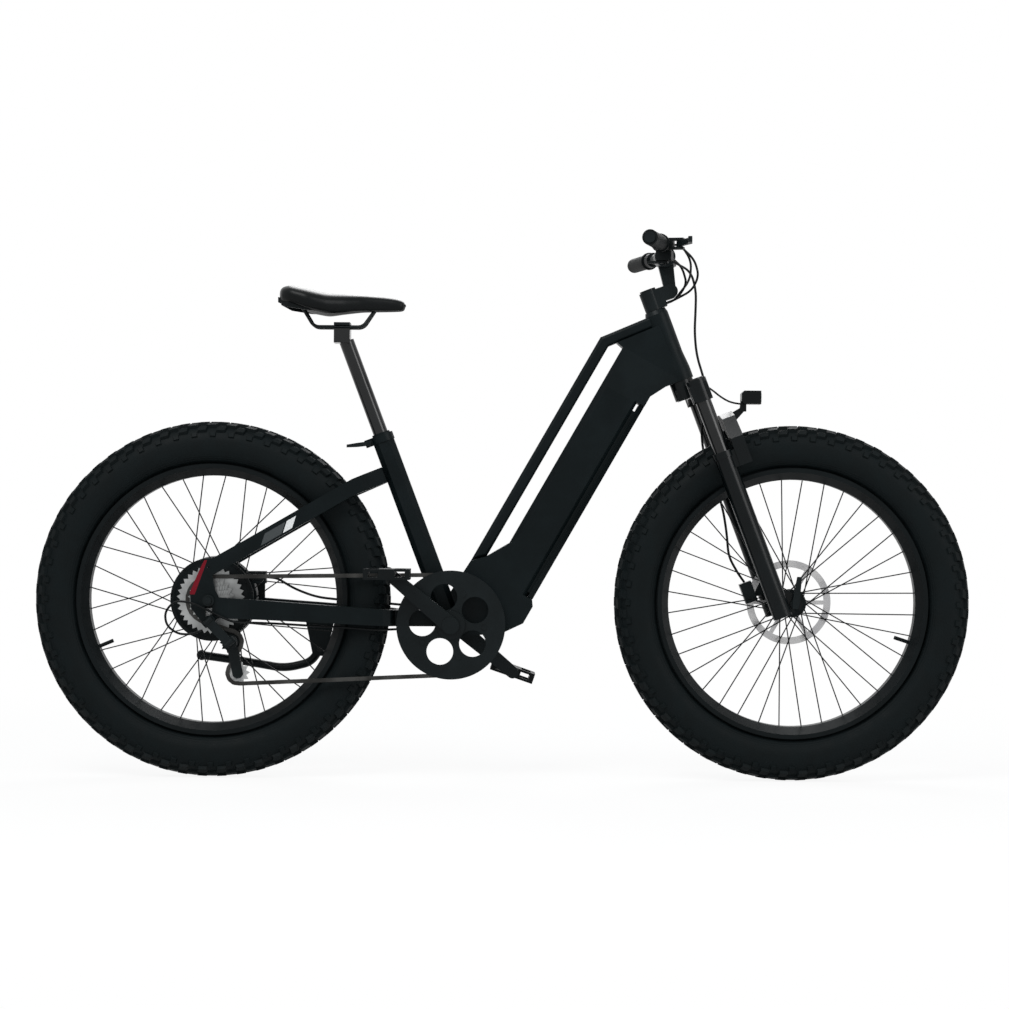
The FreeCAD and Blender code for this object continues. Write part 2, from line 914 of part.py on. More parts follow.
# Seatstays: an arm each side from the dropout to the seat tube, with a threaded rack boss
def seatstays():
    stay_in = S.stay_gap + S.plate_thickness / 2
    stay_out = stay_in + S.stay_thickness * 0.8
    drop_in = S.rear_spacing / 2
    drop_out = drop_in + S.plate_thickness
    rear = rear_x + S.rear_axle_radius
    bend = -S.seatstay_bend_x
    top = -S.seatstay_top_x
    flare = S.rear_spacing * 0.21
    plan = (
        (rear, -drop_out),
        (rear + flare * 0.5, -drop_out),
        (rear + flare * 1.6, -stay_out - S.plate_thickness),
        (bend - S.stay_thickness, -stay_out),
        (bend + S.stay_thickness, -stay_out + S.plate_thickness),
        (top, -S.seatstay_top_outer),
        (top, -S.seatstay_top_inner),
        (bend, -stay_in),
        (rear + flare * 1.6, -stay_in - S.plate_thickness),
        (rear + flare * 0.5, -drop_in),
        (rear, -drop_in),
    )
    half = S.seatstay_height / 2
    side = (
        (rear, S.seatstay_rear_z - half),
        (bend, S.seatstay_bend_z - half),
        (top, S.seatstay_top_z - half),
        (top, S.seatstay_top_z + half),
        (bend, S.seatstay_bend_z + half),
        (rear, S.seatstay_rear_z + half),
    )
    above = padded("SeatstayPlan", "XY_Plane", plan, 0, axle_z * 3)
    flank = side_plate("SeatstaySide", side, -drop_out - S.overrun, 0)
    arm = common("SeatstayArm", above, flank)
    drive = cut("DriveSeatstay", arm, [seat_tube_space("SeatstaySeat")])
    keep(group("Seatstays", [drive, mirror("FarSeatstay", drive)]), "seatstays")


# Dropouts: the end plates that hold the axle, each with a slot open downwards and a rack eyelet
def dropouts(mount):
    near = S.rear_spacing / 2
    far = near + S.plate_thickness
    stay = rear_x + S.rear_axle_radius * 3
    top = rear_x + S.rear_axle_radius
    stay_low = axle_z - S.chainstay_rear_height * 0.86
    stay_high = axle_z + S.chainstay_rear_height * 0.14
    seat_low = S.seatstay_rear_z - S.seatstay_height / 2
    seat_high = S.seatstay_rear_z + S.seatstay_height / 2
    wide = S.chainstay_rear_height
    points = (
        (stay, stay_low),
        (stay, stay_high),
        (stay - S.plate_thickness, stay_high + S.plate_thickness * 2),
        (top, seat_low),
        (top, seat_high),
        (top - wide * 0.35, seat_high),
        (top - wide * 0.66, seat_low + S.plate_thickness),
        (top - wide * 1.08, axle_z + wide * 0.4),
        (top - wide * 1.02, axle_z - wide * 0.4),
        (top - wide * 0.5, stay_low - S.plate_thickness),
        (rear_x, stay_low - S.plate_thickness * 1.5),
    )
    plate = side_plate("DropoutBar", points, -far, -near)
    slot_half = S.rear_axle_radius + S.running_gap
    slot = block(
        "DropoutSlot",
        (rear_x - slot_half, -far - S.overrun, 0),
        (rear_x + slot_half, -near + S.overrun, axle_z),
        level,
    )
    hole = rod("DropoutHole", slot_half, -far - S.overrun, -near + S.overrun, (rear_x, axle_z))
    eyelet_spot = (top - wide * 0.2, (seat_low + seat_high) / 2)
    eyelet = rod("DropoutEyelet", S.rack_thread_radius, -far - S.overrun, -near + S.overrun, eyelet_spot)
    drive = cut("DriveDropout", plate, [slot, hole, eyelet])
    keep(group("Dropouts", [drive, mirror("FarDropout", drive), mount]), "dropouts")


# Rear axle with its two nuts and the washers inside the dropouts
def rear_axle():
    spot = (rear_x, axle_z)
    inner = S.rear_spacing / 2
    outer = inner + S.plate_thickness
    end = outer + S.rear_nut_length + S.plate_thickness
    axle = rod("RearAxleBar", S.rear_axle_radius, -end, end, spot)
    pieces = [axle]
    for name, low, high in (
        ("DriveNut", outer, outer + S.rear_nut_length),
        ("DriveWasher", inner - S.plate_thickness / 4, inner),
    ):
        profile = ring(name, S.rear_axle_radius, S.rear_nut_radius, low, high)
        nut = across(profile, spot, 0)
        pieces += [nut, mirror("Far" + name, nut)]
    keep(fuse("RearAxle", pieces), "rear_axle")


# Tyre carcass with its three rows of knobs, turned about the wheel's own axle
def tyre_profile():
    half = S.tyre_width / 2
    base = S.rim_radius + S.running_gap
    height = S.tyre_radius - S.knob_height - base
    outer = [(base + height * up, half * out) for out, up in TYRE_SHARES]
    inner_top = base + height - S.tyre_wall
    lip = half * TYRE_SHARES[0][0]
    inner = [(base, lip - S.tyre_wall), (base + height * 0.5, half - S.tyre_wall)]
    inner.append((inner_top, half * 0.5))
    right = outer + [(radius, -along) for radius, along in reversed(outer)]
    left = [(radius, -along) for radius, along in inner] + list(reversed(inner))
    return right + left


def knob(radius, along, tilt, length, width, height, taper):
    shapes = []
    for level_radius, trim in ((float(S.running_gap), 0), (height, taper)):
        half_long = length / 2 - trim
        half_wide = width / 2 - trim
        shapes.append(
            [
                Vector(radius + level_radius, -half_long, -half_wide),
                Vector(radius + level_radius, half_long, -half_wide),
                Vector(radius + level_radius, half_long, half_wide),
                Vector(radius + level_radius, -half_long, half_wide),
            ]
        )
    wires = [Part.makePolygon(corners + corners[:1]) for corners in shapes]
    solid = Part.makeLoft(wires, True, True)
    solid.rotate(Vector(radius, 0, 0), Vector(0, 1, 0), -tilt)
    solid.translate(Vector(0, 0, along))
    return solid


def tread(front_turn):
    half = float(S.tyre_width) / 2
    crown = float(S.tyre_radius - S.knob_height)
    base = float(S.rim_radius + S.running_gap)
    height = crown - base
    share_out, share_up = TYRE_SHARES[2]
    next_out, next_up = TYRE_SHARES[3]
    shoulder_radius = base + height * (share_up + next_up) / 2
    shoulder_along = half * (share_out + next_out) / 2
    tilt = math.degrees(math.atan2(height * (next_up - share_up), half * (share_out - next_out)))
    count = int(float(S.knobs_per_row))
    step = 360 / count
    long, wide = float(S.knob_length), float(S.knob_width)
    rows = (
        (crown, 0, 0, long, wide * 1.7, 0),
        (shoulder_radius, shoulder_along, tilt, long, float(S.shoulder_knob_width), step / 2),
        (shoulder_radius, -shoulder_along, -tilt, long, float(S.shoulder_knob_width), step / 2),
    )
    knobs = []
    for radius, along, lean, length, width, turn in rows:
        sample = knob(radius, along, lean, length, width, float(S.knob_height), float(S.knob_taper))
        for i in range(count):
            copy = sample.copy()
            copy.rotate(Vector(0, 0, 0), Vector(0, 0, 1), turn + step * i + front_turn)
            knobs.append(copy)
    return knobs


def wheel_group(name, things, spot, label):
    keep(across(group(name, things), spot, 0), label)


def tyre(side, spot, turn):
    carcass = turned(side.title() + "Carcass", tyre_profile())
    knobs = feature(side.title() + "Tread", Part.makeCompound(tread(turn)))
    wheel_group(side.title() + "Tyre", [carcass, knobs], spot, side + "_tyre")


# Rim: a shallow double-walled channel, with the valve that points at the hub
def rim(side, spot, valve_angle):
    top = S.rim_radius
    wide = S.rim_width / 2
    bed = S.rim_bed_width / 2
    lip = S.rim_lip
    floor = top - S.rim_depth
    half = (
        (top, wide),
        (top - lip, wide - lip),
        (floor + lip, bed - lip / 2),
    )
    under = ((top - lip * 3, wide), (floor, bed))
    profile = list(half) + [(radius, -along) for radius, along in reversed(half)]
    profile += [(radius, -along) for radius, along in under] + [under[1], under[0]]
    hoop = turned(side.title() + "Hoop", profile)
    valve = doc.addObject("Part::Cylinder", side.title() + "Valve")
    bind(valve, Radius=S.valve_radius, Height=S.valve_length)
    turn = math.radians(float(valve_angle))
    start = floor - S.valve_length + lip
    axis = (-math.sin(turn), math.cos(turn), 0)
    put(valve, start * cos(valve_angle), start * sin(valve_angle), 0, axis, 90)
    wheel_group(side.title() + "Rim", [fuse(side.title() + "RimWhole", [hoop, valve])], spot, side + "_rim")


# Crossed spokes: each runs from one face of a hub flange to the rim
def spokes(side, spot, flange, spread, flange_width, cross, label):
    count = int(float(S.spokes_per_wheel))
    thick = float(S.spoke_thickness)
    end_radius = float(S.rim_radius - S.rim_depth - S.running_gap * 3)
    hub_radius = float(flange - S.spoke_thickness * 1.6)
    rim_along = float(S.rim_bed_width) / 4
    shapes = []
    for i in range(count):
        flank = 1 if i % 2 else -1
        way = 1 if (i // 2) % 2 else -1
        rim_turn = math.radians((i + 0.5) * 360 / count)
        hub_turn = rim_turn - way * math.radians(float(cross))
        offset = float(flange_width) / 2 + thick / 2 + float(S.spoke_layer if way > 0 else S.running_gap)
        along = flank * (float(spread) / 2 + way * offset)
        foot = Vector(hub_radius * math.cos(hub_turn), hub_radius * math.sin(hub_turn), along)
        tip = Vector(end_radius * math.cos(rim_turn), end_radius * math.sin(rim_turn), flank * rim_along)
        run = tip - foot
        flat = Vector(0, 0, 1).cross(run).normalize() * (thick / 2)
        up = run.cross(flat).normalize() * (thick / 2)
        corners = [foot - flat - up, foot + flat - up, foot + flat + up, foot - flat + up]
        shapes.append(prism(corners, run))
    made = feature(side.title() + "SpokeSet", Part.makeCompound(shapes))
    wheel_group(side.title() + "Spokes", [made], spot, label)


def front_hub(spot):
    end = S.front_spacing / 2 - S.moving_gap
    bore = S.front_axle_radius + S.running_gap
    flange = S.front_hub_flange
    inner = S.front_flange_spread / 2 - S.front_flange_width / 2
    outer = S.front_flange_spread / 2 + S.front_flange_width / 2
    neck = outer + S.front_flange_width * 2
    half = (
        (S.front_hub_radius, inner),
        (flange, inner),
        (flange, outer),
        (S.front_hub_radius, outer),
        (S.front_hub_end, neck),
        (S.front_hub_end, end),
        (bore, end),
    )
    profile = list(half) + [(radius, -along) for radius, along in reversed(half)]
    wheel_group("FrontHub", [turned("FrontHubBody", profile)], spot, "front_hub")


# Hub motor: a wide drum with bevelled covers, spoke flanges and a boss on each side
def rear_hub(spot):
    bore = S.rear_axle_radius + S.running_gap
    end = S.rear_spacing / 2 - S.plate_thickness / 4 - S.moving_gap
    drum = S.motor_radius
    wide = S.motor_width / 2
    edge = wide - S.motor_rim
    inner = S.rear_flange_spread / 2 - S.rear_flange_width / 2
    outer = S.rear_flange_spread / 2 + S.rear_flange_width / 2
    half = (
        (drum, inner),
        (S.rear_flange_radius, inner),
        (S.rear_flange_radius, outer),
        (drum, outer),
        (drum, edge),
        (drum - S.motor_rim, wide),
        (S.rear_boss_radius, wide),
        (S.rear_boss_radius, end),
        (bore, end),
    )
    profile = list(half) + [(radius, -along) for radius, along in reversed(half)]
    wheel_group("RearHub", [turned("RearHubBody", profile)], spot, "rear_hub_motor")


# Brake disc: outer band, arms and the ring that sits on the hub
def rotor(side, spot, place, seat_radius):
    low = -place - S.rotor_thickness / 2
    high = -place + S.rotor_thickness / 2
    outer = S.rotor_radius
    inner = outer - S.rotor_band
    name = side.title() + "Rotor"
    band = ring(name + "Band", inner, outer, low, high)
    centre = ring(name + "Seat", seat_radius + S.seat_gap, seat_radius + S.rotor_band, low, high)
    arms = []
    count = int(float(S.rotor_arms))
    wide = S.rotor_arm_width / 2
    for i in range(count):
        arm = doc.addObject("Part::Box", f"{name}Arm{i}")
        start = seat_radius + S.rotor_band / 2
        bind(arm, Length=inner + S.rotor_band / 2 - start, Width=S.rotor_arm_width, Height=S.rotor_thickness)
        turn = 360 * i / count
        c, s = math.cos(math.radians(turn)), math.sin(math.radians(turn))
        put(arm, start * c + wide * s, start * s - wide * c, low, (0, 0, 1), turn)
        arms.append(arm)
    wheel_group(name, [fuse(name + "Whole", [band, centre] + arms)], spot, side + "_rotor")


def pitch_radius(teeth):
    return float(S.chain_pitch) / 2 / math.sin(math.pi / teeth)


# A toothed wheel: roots lie under the chain's pins and points stand between them
def toothed(teeth, thickness, bore, phase):
    radius = pitch_radius(teeth)
    low = -float(thickness) / 2
    corners = []
    for i in range(teeth):
        for turn, reach in ((0, -float(S.root_depth)), (0.5, float(S.tooth_height))):
            angle = phase + (i + turn) * 2 * math.pi / teeth
            spread = radius + reach
            corners.append(Vector(spread * math.cos(angle), spread * math.sin(angle), low))
    rim_wire = Part.makePolygon(corners + corners[:1])
    hole = Part.Wire(Part.Circle(Vector(0, 0, low), Vector(0, 0, 1), float(bore)).toShape())
    face = Part.makeFace([rim_wire, hole], "Part::FaceMakerBullseye")
    return face.extrude(Vector(0, 0, float(thickness)))


# The chain's way round its four wheels, found for a cage angle; lengths count in links
def chain_way(cage_turn):
    ring_teeth = int(float(S.ring_teeth))
    sprocket_teeth = int(float(S.running_sprocket_teeth))
    pulley_teeth = int(float(S.pulley_teeth))
    guide = Vector(float(S.guide_x), float(S.guide_z), 0)
    reach = float(S.cage_length)
    tension = guide + Vector(reach * math.cos(cage_turn), reach * math.sin(cage_turn), 0)
    wheels = (
        (Vector(float(bb_x), float(bb_z), 0), ring_teeth, 1),
        (tension, pulley_teeth, 1),
        (guide, pulley_teeth, -1),
        (Vector(float(rear_x), float(axle_z), 0), sprocket_teeth, 1),
    )
    runs = []
    for (start, teeth, sign), (end, next_teeth, next_sign) in zip(wheels, wheels[1:] + wheels[:1]):
        radius, next_radius = pitch_radius(teeth), pitch_radius(next_teeth)
        line = end - start
        bearing = math.atan2(line.y, line.x)
        way = bearing - math.asin((sign * radius - next_sign * next_radius) / line.Length)
        left = Vector(-math.sin(way), math.cos(way), 0)
        runs.append((way, start + left * (sign * radius), end + left * (next_sign * next_radius)))
    pieces = []
    for i, (centre, teeth, sign) in enumerate(wheels):
        way_in = runs[i - 1][0]
        way_out, leave, reach_point = runs[i]
        turn = (sign * (way_in - way_out)) % (2 * math.pi)
        meet = runs[i - 1][2] - centre
        start_angle = math.atan2(meet.y, meet.x)
        links = turn * teeth / (2 * math.pi)
        pieces.append(("arc", links, centre, teeth, sign, start_angle))
        pieces.append(("run", (reach_point - leave).Length / float(S.chain_pitch), leave, reach_point))
    return pieces, tension


def chain_links(cage_turn):
    return sum(piece[1] for piece in chain_way(cage_turn)[0])


# The cage turns until the loop holds a whole, even number of links
def closed_cage_turn():
    start = math.radians(float(S.cage_angle))
    goal = 2 * round(chain_links(start) / 2)
    low, high = start - 0.5, start + 0.5
    rising = chain_links(high) > chain_links(low)
    for _ in range(60):
        middle = (low + high) / 2
        if (chain_links(middle) < goal) == rising:
            low = middle
        else:
            high = middle
    return (low + high) / 2, goal


cage_turn, link_count = closed_cage_turn()
chain_pieces, tension_centre = chain_way(cage_turn)
guide_spot = (S.guide_x, S.guide_z)
tension_spot = (cell(tension_centre.x), cell(tension_centre.y))


def pin_places():
    places = []
    phases = []
    start = 0.0
    for piece in chain_pieces:
        first = math.ceil(start - 1e-9)
        last = math.ceil(start + piece[1] - 1e-9)
        if piece[0] == "arc":
            _, _, centre, teeth, sign, start_angle = piece
            radius = pitch_radius(teeth)
            phases.append(start_angle - sign * (first - start) * 2 * math.pi / teeth)
            for k in range(first, last):
                angle = start_angle - sign * (k - start) * 2 * math.pi / teeth
                places.append(centre + Vector(radius * math.cos(angle), radius * math.sin(angle), 0))
        else:
            _, length, leave, reach_point = piece
            for k in range(first, last):
                places.append(leave + (reach_point - leave) * ((k - start) / length))
        start += piece[1]
    return places[:link_count], phases


pin_spots, tooth_phases = pin_places()


# The chain: pairs of plates, inner and outer by turns, with a bushing on every pin
def chain():
    half = float(S.chain_height) / 2
    place = -float(S.chain_place)
    inner = float(S.chain_inner_width) / 2
    thick = float(S.chain_plate)
    outer = inner + thick + float(S.chain_plate_gap)
    solids = []
    for i, spot in enumerate(pin_spots):
        following = pin_spots[(i + 1) % len(pin_spots)]
        way = (following - spot).normalize()
        rise = Vector(-way.y, way.x, 0) * half
        tip = way * half
        flat = [spot - tip, spot - rise, following - rise, following + tip, following + rise, spot + rise]
        depth = inner if i % 2 else outer
        for low in (place - depth - thick, place + depth):
            corners = [Vector(point.x, low, point.y) for point in flat]
            solids.append(prism(corners, Vector(0, thick, 0)))
        reach = float(S.bushing_radius)
        ways = (way, Vector(-way.y, way.x, 0), -way, Vector(way.y, -way.x, 0))
        ends = [spot + side * reach for side in ways]
        corners = [Vector(point.x, place - inner, point.y) for point in ends]
        solids.append(prism(corners, Vector(0, inner * 2, 0)))
    keep(feature("ChainLoop", Part.makeCompound(solids)), "chain")


# Seven sprockets on one core, the running one in line with the chain
def cassette():
    pieces = []
    bore = S.rear_boss_radius + S.running_gap
    for i, teeth in enumerate(SPROCKET_TEETH):
        phase = tooth_phases[3] if teeth == int(float(S.running_sprocket_teeth)) else 0
        plate = toothed(teeth, S.sprocket_thickness, bore, phase)
        sprocket = feature(f"Sprocket{teeth}", plate)
        across(sprocket, (rear_x, axle_z), -(S.cassette_inner_place + S.sprocket_pitch * i))
        pieces.append(sprocket)
    low = S.cassette_inner_place
    high = low + S.sprocket_pitch * (len(SPROCKET_TEETH) - 1)
    core_radius = pitch_radius(SPROCKET_TEETH[-1]) - S.root_depth * 1.3
    core = across(ring("SprocketCore", bore, core_radius, low, high), (rear_x, axle_z), 0)
    keep(fuse("Cassette", pieces + [core]), "cassette")


# Chainring with its spider and the guard disc outside it
def chainring():
    spot = (bb_x, bb_z)
    teeth = feature("RingTeeth", toothed(int(float(S.ring_teeth)), S.ring_thickness, S.ring_inner_radius,
                                         tooth_phases[0]))
    across(teeth, spot, -S.chain_place)
    low = S.guard_place
    high = low + S.guard_thickness
    guard_ring = across(ring("GuardDisc", S.spider_radius / 2, S.guard_radius, low, high), spot, 0)
    hub_low = S.chain_place - S.ring_thickness / 2
    bore = S.spindle_radius + S.seat_gap
    hub = across(ring("SpiderHub", bore, S.spider_radius, hub_low, S.crank_inner - S.seat_gap), spot, 0)
    pieces = [teeth, hub]
    windows = []
    count = int(float(S.spider_arms))
    wide = S.spider_arm_width / 2
    reach = S.ring_inner_radius + wide / 2
    for i in range(count):
        turn = S.spider_turn + cell(360 / count) * i
        tab = doc.addObject("Part::Box", f"RingTab{i}")
        start = S.guard_bolt_radius - wide
        bind(tab, Length=reach - start, Width=S.spider_arm_width, Height=S.ring_thickness)
        x = bb_x + start * cos(turn) + wide * sin(turn)
        z = bb_z + start * sin(turn) - wide * cos(turn)
        pieces.append(radial(tab, x, -hub_low, z, turn))
        bolt_spot = (bb_x + S.guard_bolt_radius * cos(turn), bb_z + S.guard_bolt_radius * sin(turn))
        pieces.append(rod(f"GuardBolt{i}", S.guard_bolt_head, -high - S.ring_thickness, -hub_low, bolt_spot))
        between = turn + cell(180 / count)
        window_spot = (bb_x + S.guard_window_place * cos(between), bb_z + S.guard_window_place * sin(between))
        window_low = -high - S.overrun
        windows.append(rod(f"GuardWindow{i}", S.guard_window_radius, window_low, S.overrun - low, window_spot))
    pieces.append(cut("Guard", guard_ring, windows))
    keep(fuse("Chainring", pieces), "chainring")


# Turns a box so that its length runs out at an angle in the side view and its height to the drive side
def radial(thing, x, y, z, turn):
    spin = Rotation(Vector(1, 0, 0), 90) * Rotation(Vector(0, 0, 1), float(turn))
    thing.Placement = Placement(Vector(float(x), float(y), float(z)), spin)
    for name, size in (("x", x), ("y", y), ("z", z)):
        thing.setExpression(f"Placement.Base.{name}", cell(size).text)
    return thing


def crank_tip(turn):
    return bb_x + S.crank_length * cos(turn), bb_z + S.crank_length * sin(turn)


def crank_arm(name, turn):
    low = S.crank_inner
    high = low + S.crank_thickness
    root = S.crank_root_width / 2
    tip = S.crank_tip_width / 2
    points = (
        (0, -root),
        (S.crank_length, -tip),
        (S.crank_length, tip),
        (0, root),
    )
    bar = padded(name + "Bar", "XY_Plane", points, low, S.crank_thickness)
    boss = ring(name + "Boss", cell(0), root, low, high + S.pedal_gap / 2)
    eye = ring(name + "Eye", cell(0), tip, low, high)
    put(eye, S.crank_length, 0, 0, (0, 0, 1), 0)
    shape = fuse(name, [bar, boss, eye])
    return radial(shape, bb_x, cell(0), bb_z, turn)


# Crank: two arms, the spindle between them and a pedal axle on each
def crank_arms():
    drive = crank_arm("DriveArm", S.crank_angle)
    far_turn = S.crank_angle + 180
    far_source = crank_arm("FarArmSource", far_turn)
    far = mirror("FarArm", far_source)
    reach = S.crank_inner + S.crank_thickness / 2
    spindle = rod("Spindle", S.spindle_radius, -reach, reach, (bb_x, bb_z))
    outer = S.crank_inner + S.crank_thickness + S.pedal_gap + S.pedal_width - S.pedal_gap
    drive_axle = rod("DrivePedalAxle", S.pedal_axle_radius, -outer, -reach, crank_tip(S.crank_angle))
    far_axle = rod("FarPedalAxle", S.pedal_axle_radius, reach, outer, crank_tip(far_turn))
    keep(fuse("Cranks", [drive, far, spindle, drive_axle, far_axle]), "crank_arms")


# Pedal: a core on the axle, two side rails and three cross bars that carry the grip edges
def pedal(name, turn, flank, tilt, label):
    low = S.crank_inner + S.crank_thickness + S.pedal_gap
    high = low + S.pedal_width
    thick = S.pedal_thickness / 2
    long = S.pedal_length / 2
    rail = S.pedal_rail
    frame_outer = block(name + "Outer", (-long, low, -thick), (long, high, thick), level)
    inner_low = low + rail
    inner_high = high - rail
    gap = S.pedal_core_radius + rail / 2
    windows = []
    for side, start, end in (("Back", -long + rail, -gap), ("Front", gap, long - rail)):
        lows = (start, inner_low, -thick - S.overrun)
        highs = (end, inner_high, thick + S.overrun)
        windows.append(block(name + side + "Window", lows, highs, level))
        side_lows = (start, low - S.overrun, rail / 2 - thick)
        side_highs = (end, high + S.overrun, thick - rail / 2)
        windows.append(block(name + side + "SideWindow", side_lows, side_highs, level))
    bore = doc.addObject("Part::Cylinder", name + "Bore")
    bind(bore, Radius=S.pedal_axle_radius + S.running_gap, Height=high - low)
    put(bore, 0, high - rail / 2, 0, (1, 0, 0), 90)
    shape = cut(name + "Cut", frame_outer, windows + [bore])
    spot = crank_tip(turn)
    body = shape if flank > 0 else mirror(name + "Mirror", shape)
    holder = group(name, [body])
    put(holder, spot[0], 0, spot[1], (0, 1, 0), tilt)
    keep(holder, label)


# Fork crown with the steerer that turns in the head tube
def fork_crown():
    half = S.leg_spread / 2
    wide = half + S.crown_sleeve_radius * CROWN_END_SHARE
    top = -S.crown_top
    low = top - S.crown_depth
    mid = top - S.crown_middle_depth
    inner = half - S.crown_sleeve_radius * CROWN_ROOT_SHARE
    bar_top = top - S.rim_lip
    points = (
        (-wide, top - S.crown_top),
        (-wide, low),
        (-inner, low),
        (-inner * CROWN_ROOT_SHARE, mid),
        (inner * CROWN_ROOT_SHARE, mid),
        (inner, low),
        (wide, low),
        (wide, top - S.crown_top),
        (inner, bar_top),
        (-inner, bar_top),
    )
    back = S.leg_offset - S.crown_reach
    front = S.leg_offset + S.crown_reach
    bar = steering.hold(padded("CrownBar", "YZ_Plane", points, back, front - back))
    middle_half = S.head_tube_base_radius - S.crown_top / 2
    middle_lows = (-S.crown_reach, -middle_half, mid + S.rim_lip / 2)
    middle = block("CrownMiddle", middle_lows, (S.leg_offset, middle_half, bar_top - S.rim_lip), steering)
    race = post("CrownRace", S.head_tube_base_radius - S.crown_top / 4, mid + S.rim_lip, -S.moving_gap, steering)
    steer = post("Steerer", S.steerer_radius, mid + S.rim_lip * 2, S.stem_bottom + S.stem_height - S.rim_lip, steering)
    whole = [bar, middle, race, steer]
    tools = [post("SteererBore", S.steerer_bore, mid + S.crown_top, S.stem_bottom * 2, steering)]
    for name, y in (("Drive", -half), ("Far", half)):
        whole.append(post(name + "Sleeve", S.crown_sleeve_radius, low - S.rim_lip, top, steering, S.leg_offset, y))
        hole_radius = S.stanchion_radius + S.seat_gap
        tools.append(post(name + "Socket", hole_radius, low - S.overrun, 0, steering, S.leg_offset, y))
    keep(cut("ForkCrown", fuse("CrownWhole", whole), tools), "fork_crown")


def stanchions():
    half = S.leg_spread / 2
    tubes = []
    high = -S.crown_top + S.rim_lip
    low = -S.stanchion_top - S.stanchion_length
    for name, y in (("Drive", -half), ("Far", half)):
        outer = post(name + "StanchionBar", S.stanchion_radius, low, high, steering, S.leg_offset, y)
        bore = post(name + "StanchionBore", S.stanchion_bore, low - S.overrun, high - S.overrun, steering,
                    S.leg_offset, y)
        tubes.append(cut(name + "Stanchion", outer, [bore]))
    keep(group("Stanchions", tubes), "stanchions")


# Fork lowers: two legs with their seals, the arch over the tyre and the end plates for the axle
def fork_lowers():
    half = S.leg_spread / 2
    top = -S.lowers_top
    low = -S.lowers_bottom
    pieces = []
    tools = []
    for name, y in (("Drive", -half), ("Far", half)):
        pieces.append(post(name + "Leg", S.lowers_radius, low, top, steering, S.leg_offset, y))
        pieces.append(post(name + "Seal", S.seal_radius, top - S.seal_height, top, steering, S.leg_offset, y))
        bore = S.stanchion_radius + S.running_gap
        deep = -S.stanchion_top - S.stanchion_length - S.fork_travel - S.rim_lip
        tools.append(post(name + "LegBore", bore, deep, top + S.overrun, steering, S.leg_offset, y))
    pieces.append(fork_arch())
    pieces += fork_ends()
    keep(cut("ForkLowers", fuse("LowersWhole", pieces), tools), "fork_lowers")


def fork_arch():
    half = S.leg_spread / 2
    wide = half + S.lowers_radius * 0.9
    inner = half - S.lowers_radius * 0.9
    peak = -S.arch_top
    deep = S.arch_thickness
    foot = -S.lowers_top - S.dropout_height
    right = (
        (wide, foot),
        (wide, peak - deep * 1.6),
        (half * 0.92, peak - deep * 0.3),
        (half * 0.45, peak),
    )
    under = (
        (half * 0.5, peak - deep),
        (inner, peak - deep * 2),
        (inner, foot),
    )
    points = list(right) + [(-y, w) for y, w in reversed(right)]
    points += [(-y, w) for y, w in reversed(under)] + list(under)
    arch = steering.hold(padded("ArchBar", "YZ_Plane", points, S.arch_back, S.arch_front - S.arch_back))
    webs = [arch]
    high = -S.lowers_top - S.rim_lip
    for name, y in (("Drive", -half), ("Far", half)):
        wall = S.lowers_radius * 0.7
        lows = (S.leg_offset, y - wall, foot)
        webs.append(block(name + "ArchWeb", lows, (S.arch_back + S.rim_lip, y + wall, high), steering))
    return fuse("Arch", webs)


def fork_ends():
    near = S.front_spacing / 2
    far = near + S.dropout_thickness
    axle_u, axle_w = S.fork_rake, -S.fork_length
    back = S.leg_offset - S.lowers_radius / 2
    points = (
        (back, -S.lowers_bottom),
        (back, axle_w + S.dropout_height),
        (S.leg_offset + S.lowers_radius, axle_w + S.dropout_height),
        (axle_u + S.dropout_height * 0.34, axle_w + S.dropout_height * 0.35),
        (axle_u + S.dropout_height * 0.4, axle_w - S.dropout_height * 0.15),
        (axle_u + S.dropout_height * 0.15, -S.lowers_bottom),
    )
    plate = steering.hold(side_plate("ForkEndBar", points, -far, -near))
    hole_radius = S.front_axle_radius + S.running_gap
    spot = (front_x, axle_z)
    hole = rod("ForkEndHole", hole_radius, -far - S.overrun, -near + S.overrun, spot)
    slot = block(
        "ForkEndSlot",
        (axle_u - hole_radius, -far - S.overrun, -S.lowers_bottom - S.overrun),
        (axle_u + hole_radius, -near + S.overrun, axle_w),
        steering,
    )
    drive = cut("DriveForkEnd", plate, [hole, slot])
    return [drive, mirror("FarForkEnd", drive)]


# Front axle: a skewer with a nut on the far side and a cam head on the drive side
def front_axle():
    spot = (front_x, axle_z)
    outer = S.front_spacing / 2 + S.dropout_thickness
    nut_end = outer + S.axle_nut_length
    bar = rod("FrontAxleBar", S.front_axle_radius, -nut_end, nut_end, spot)
    pieces = [bar]
    for name, low, high in (("CamHead", -nut_end, -outer), ("AxleNut", outer, nut_end)):
        pieces.append(rod(name, S.axle_nut_radius, low, high, spot))
    keep(fuse("FrontAxle", pieces), "front_axle")


# Quick-release lever: a bent blade beside the cam head
def front_axle_lever():
    outer = S.front_spacing / 2 + S.dropout_thickness + S.axle_nut_length + S.moving_gap
    far = outer + S.axle_lever_thickness
    half = S.axle_lever_width / 2
    points = (
        (front_x - half, axle_z - half * 1.6),
        (front_x + half, axle_z - half * 1.6),
        (front_x + half * 1.6, axle_z + half),
        (front_x + half * 2.2, axle_z + S.axle_lever_length),
        (front_x + half * 0.6, axle_z + S.axle_lever_length),
        (front_x - half, axle_z + half),
    )
    keep(side_plate("FrontAxleLever", points, -far, -outer), "front_axle_lever")


# Headlight bracket: a tongue from the arch to the pivot under the light
def light_pivot():
    x = S.light_x - S.light_length / 2 + S.light_pivot_radius
    z = S.light_z - S.light_height / 2 - S.light_pivot_radius * 2
    return x, z


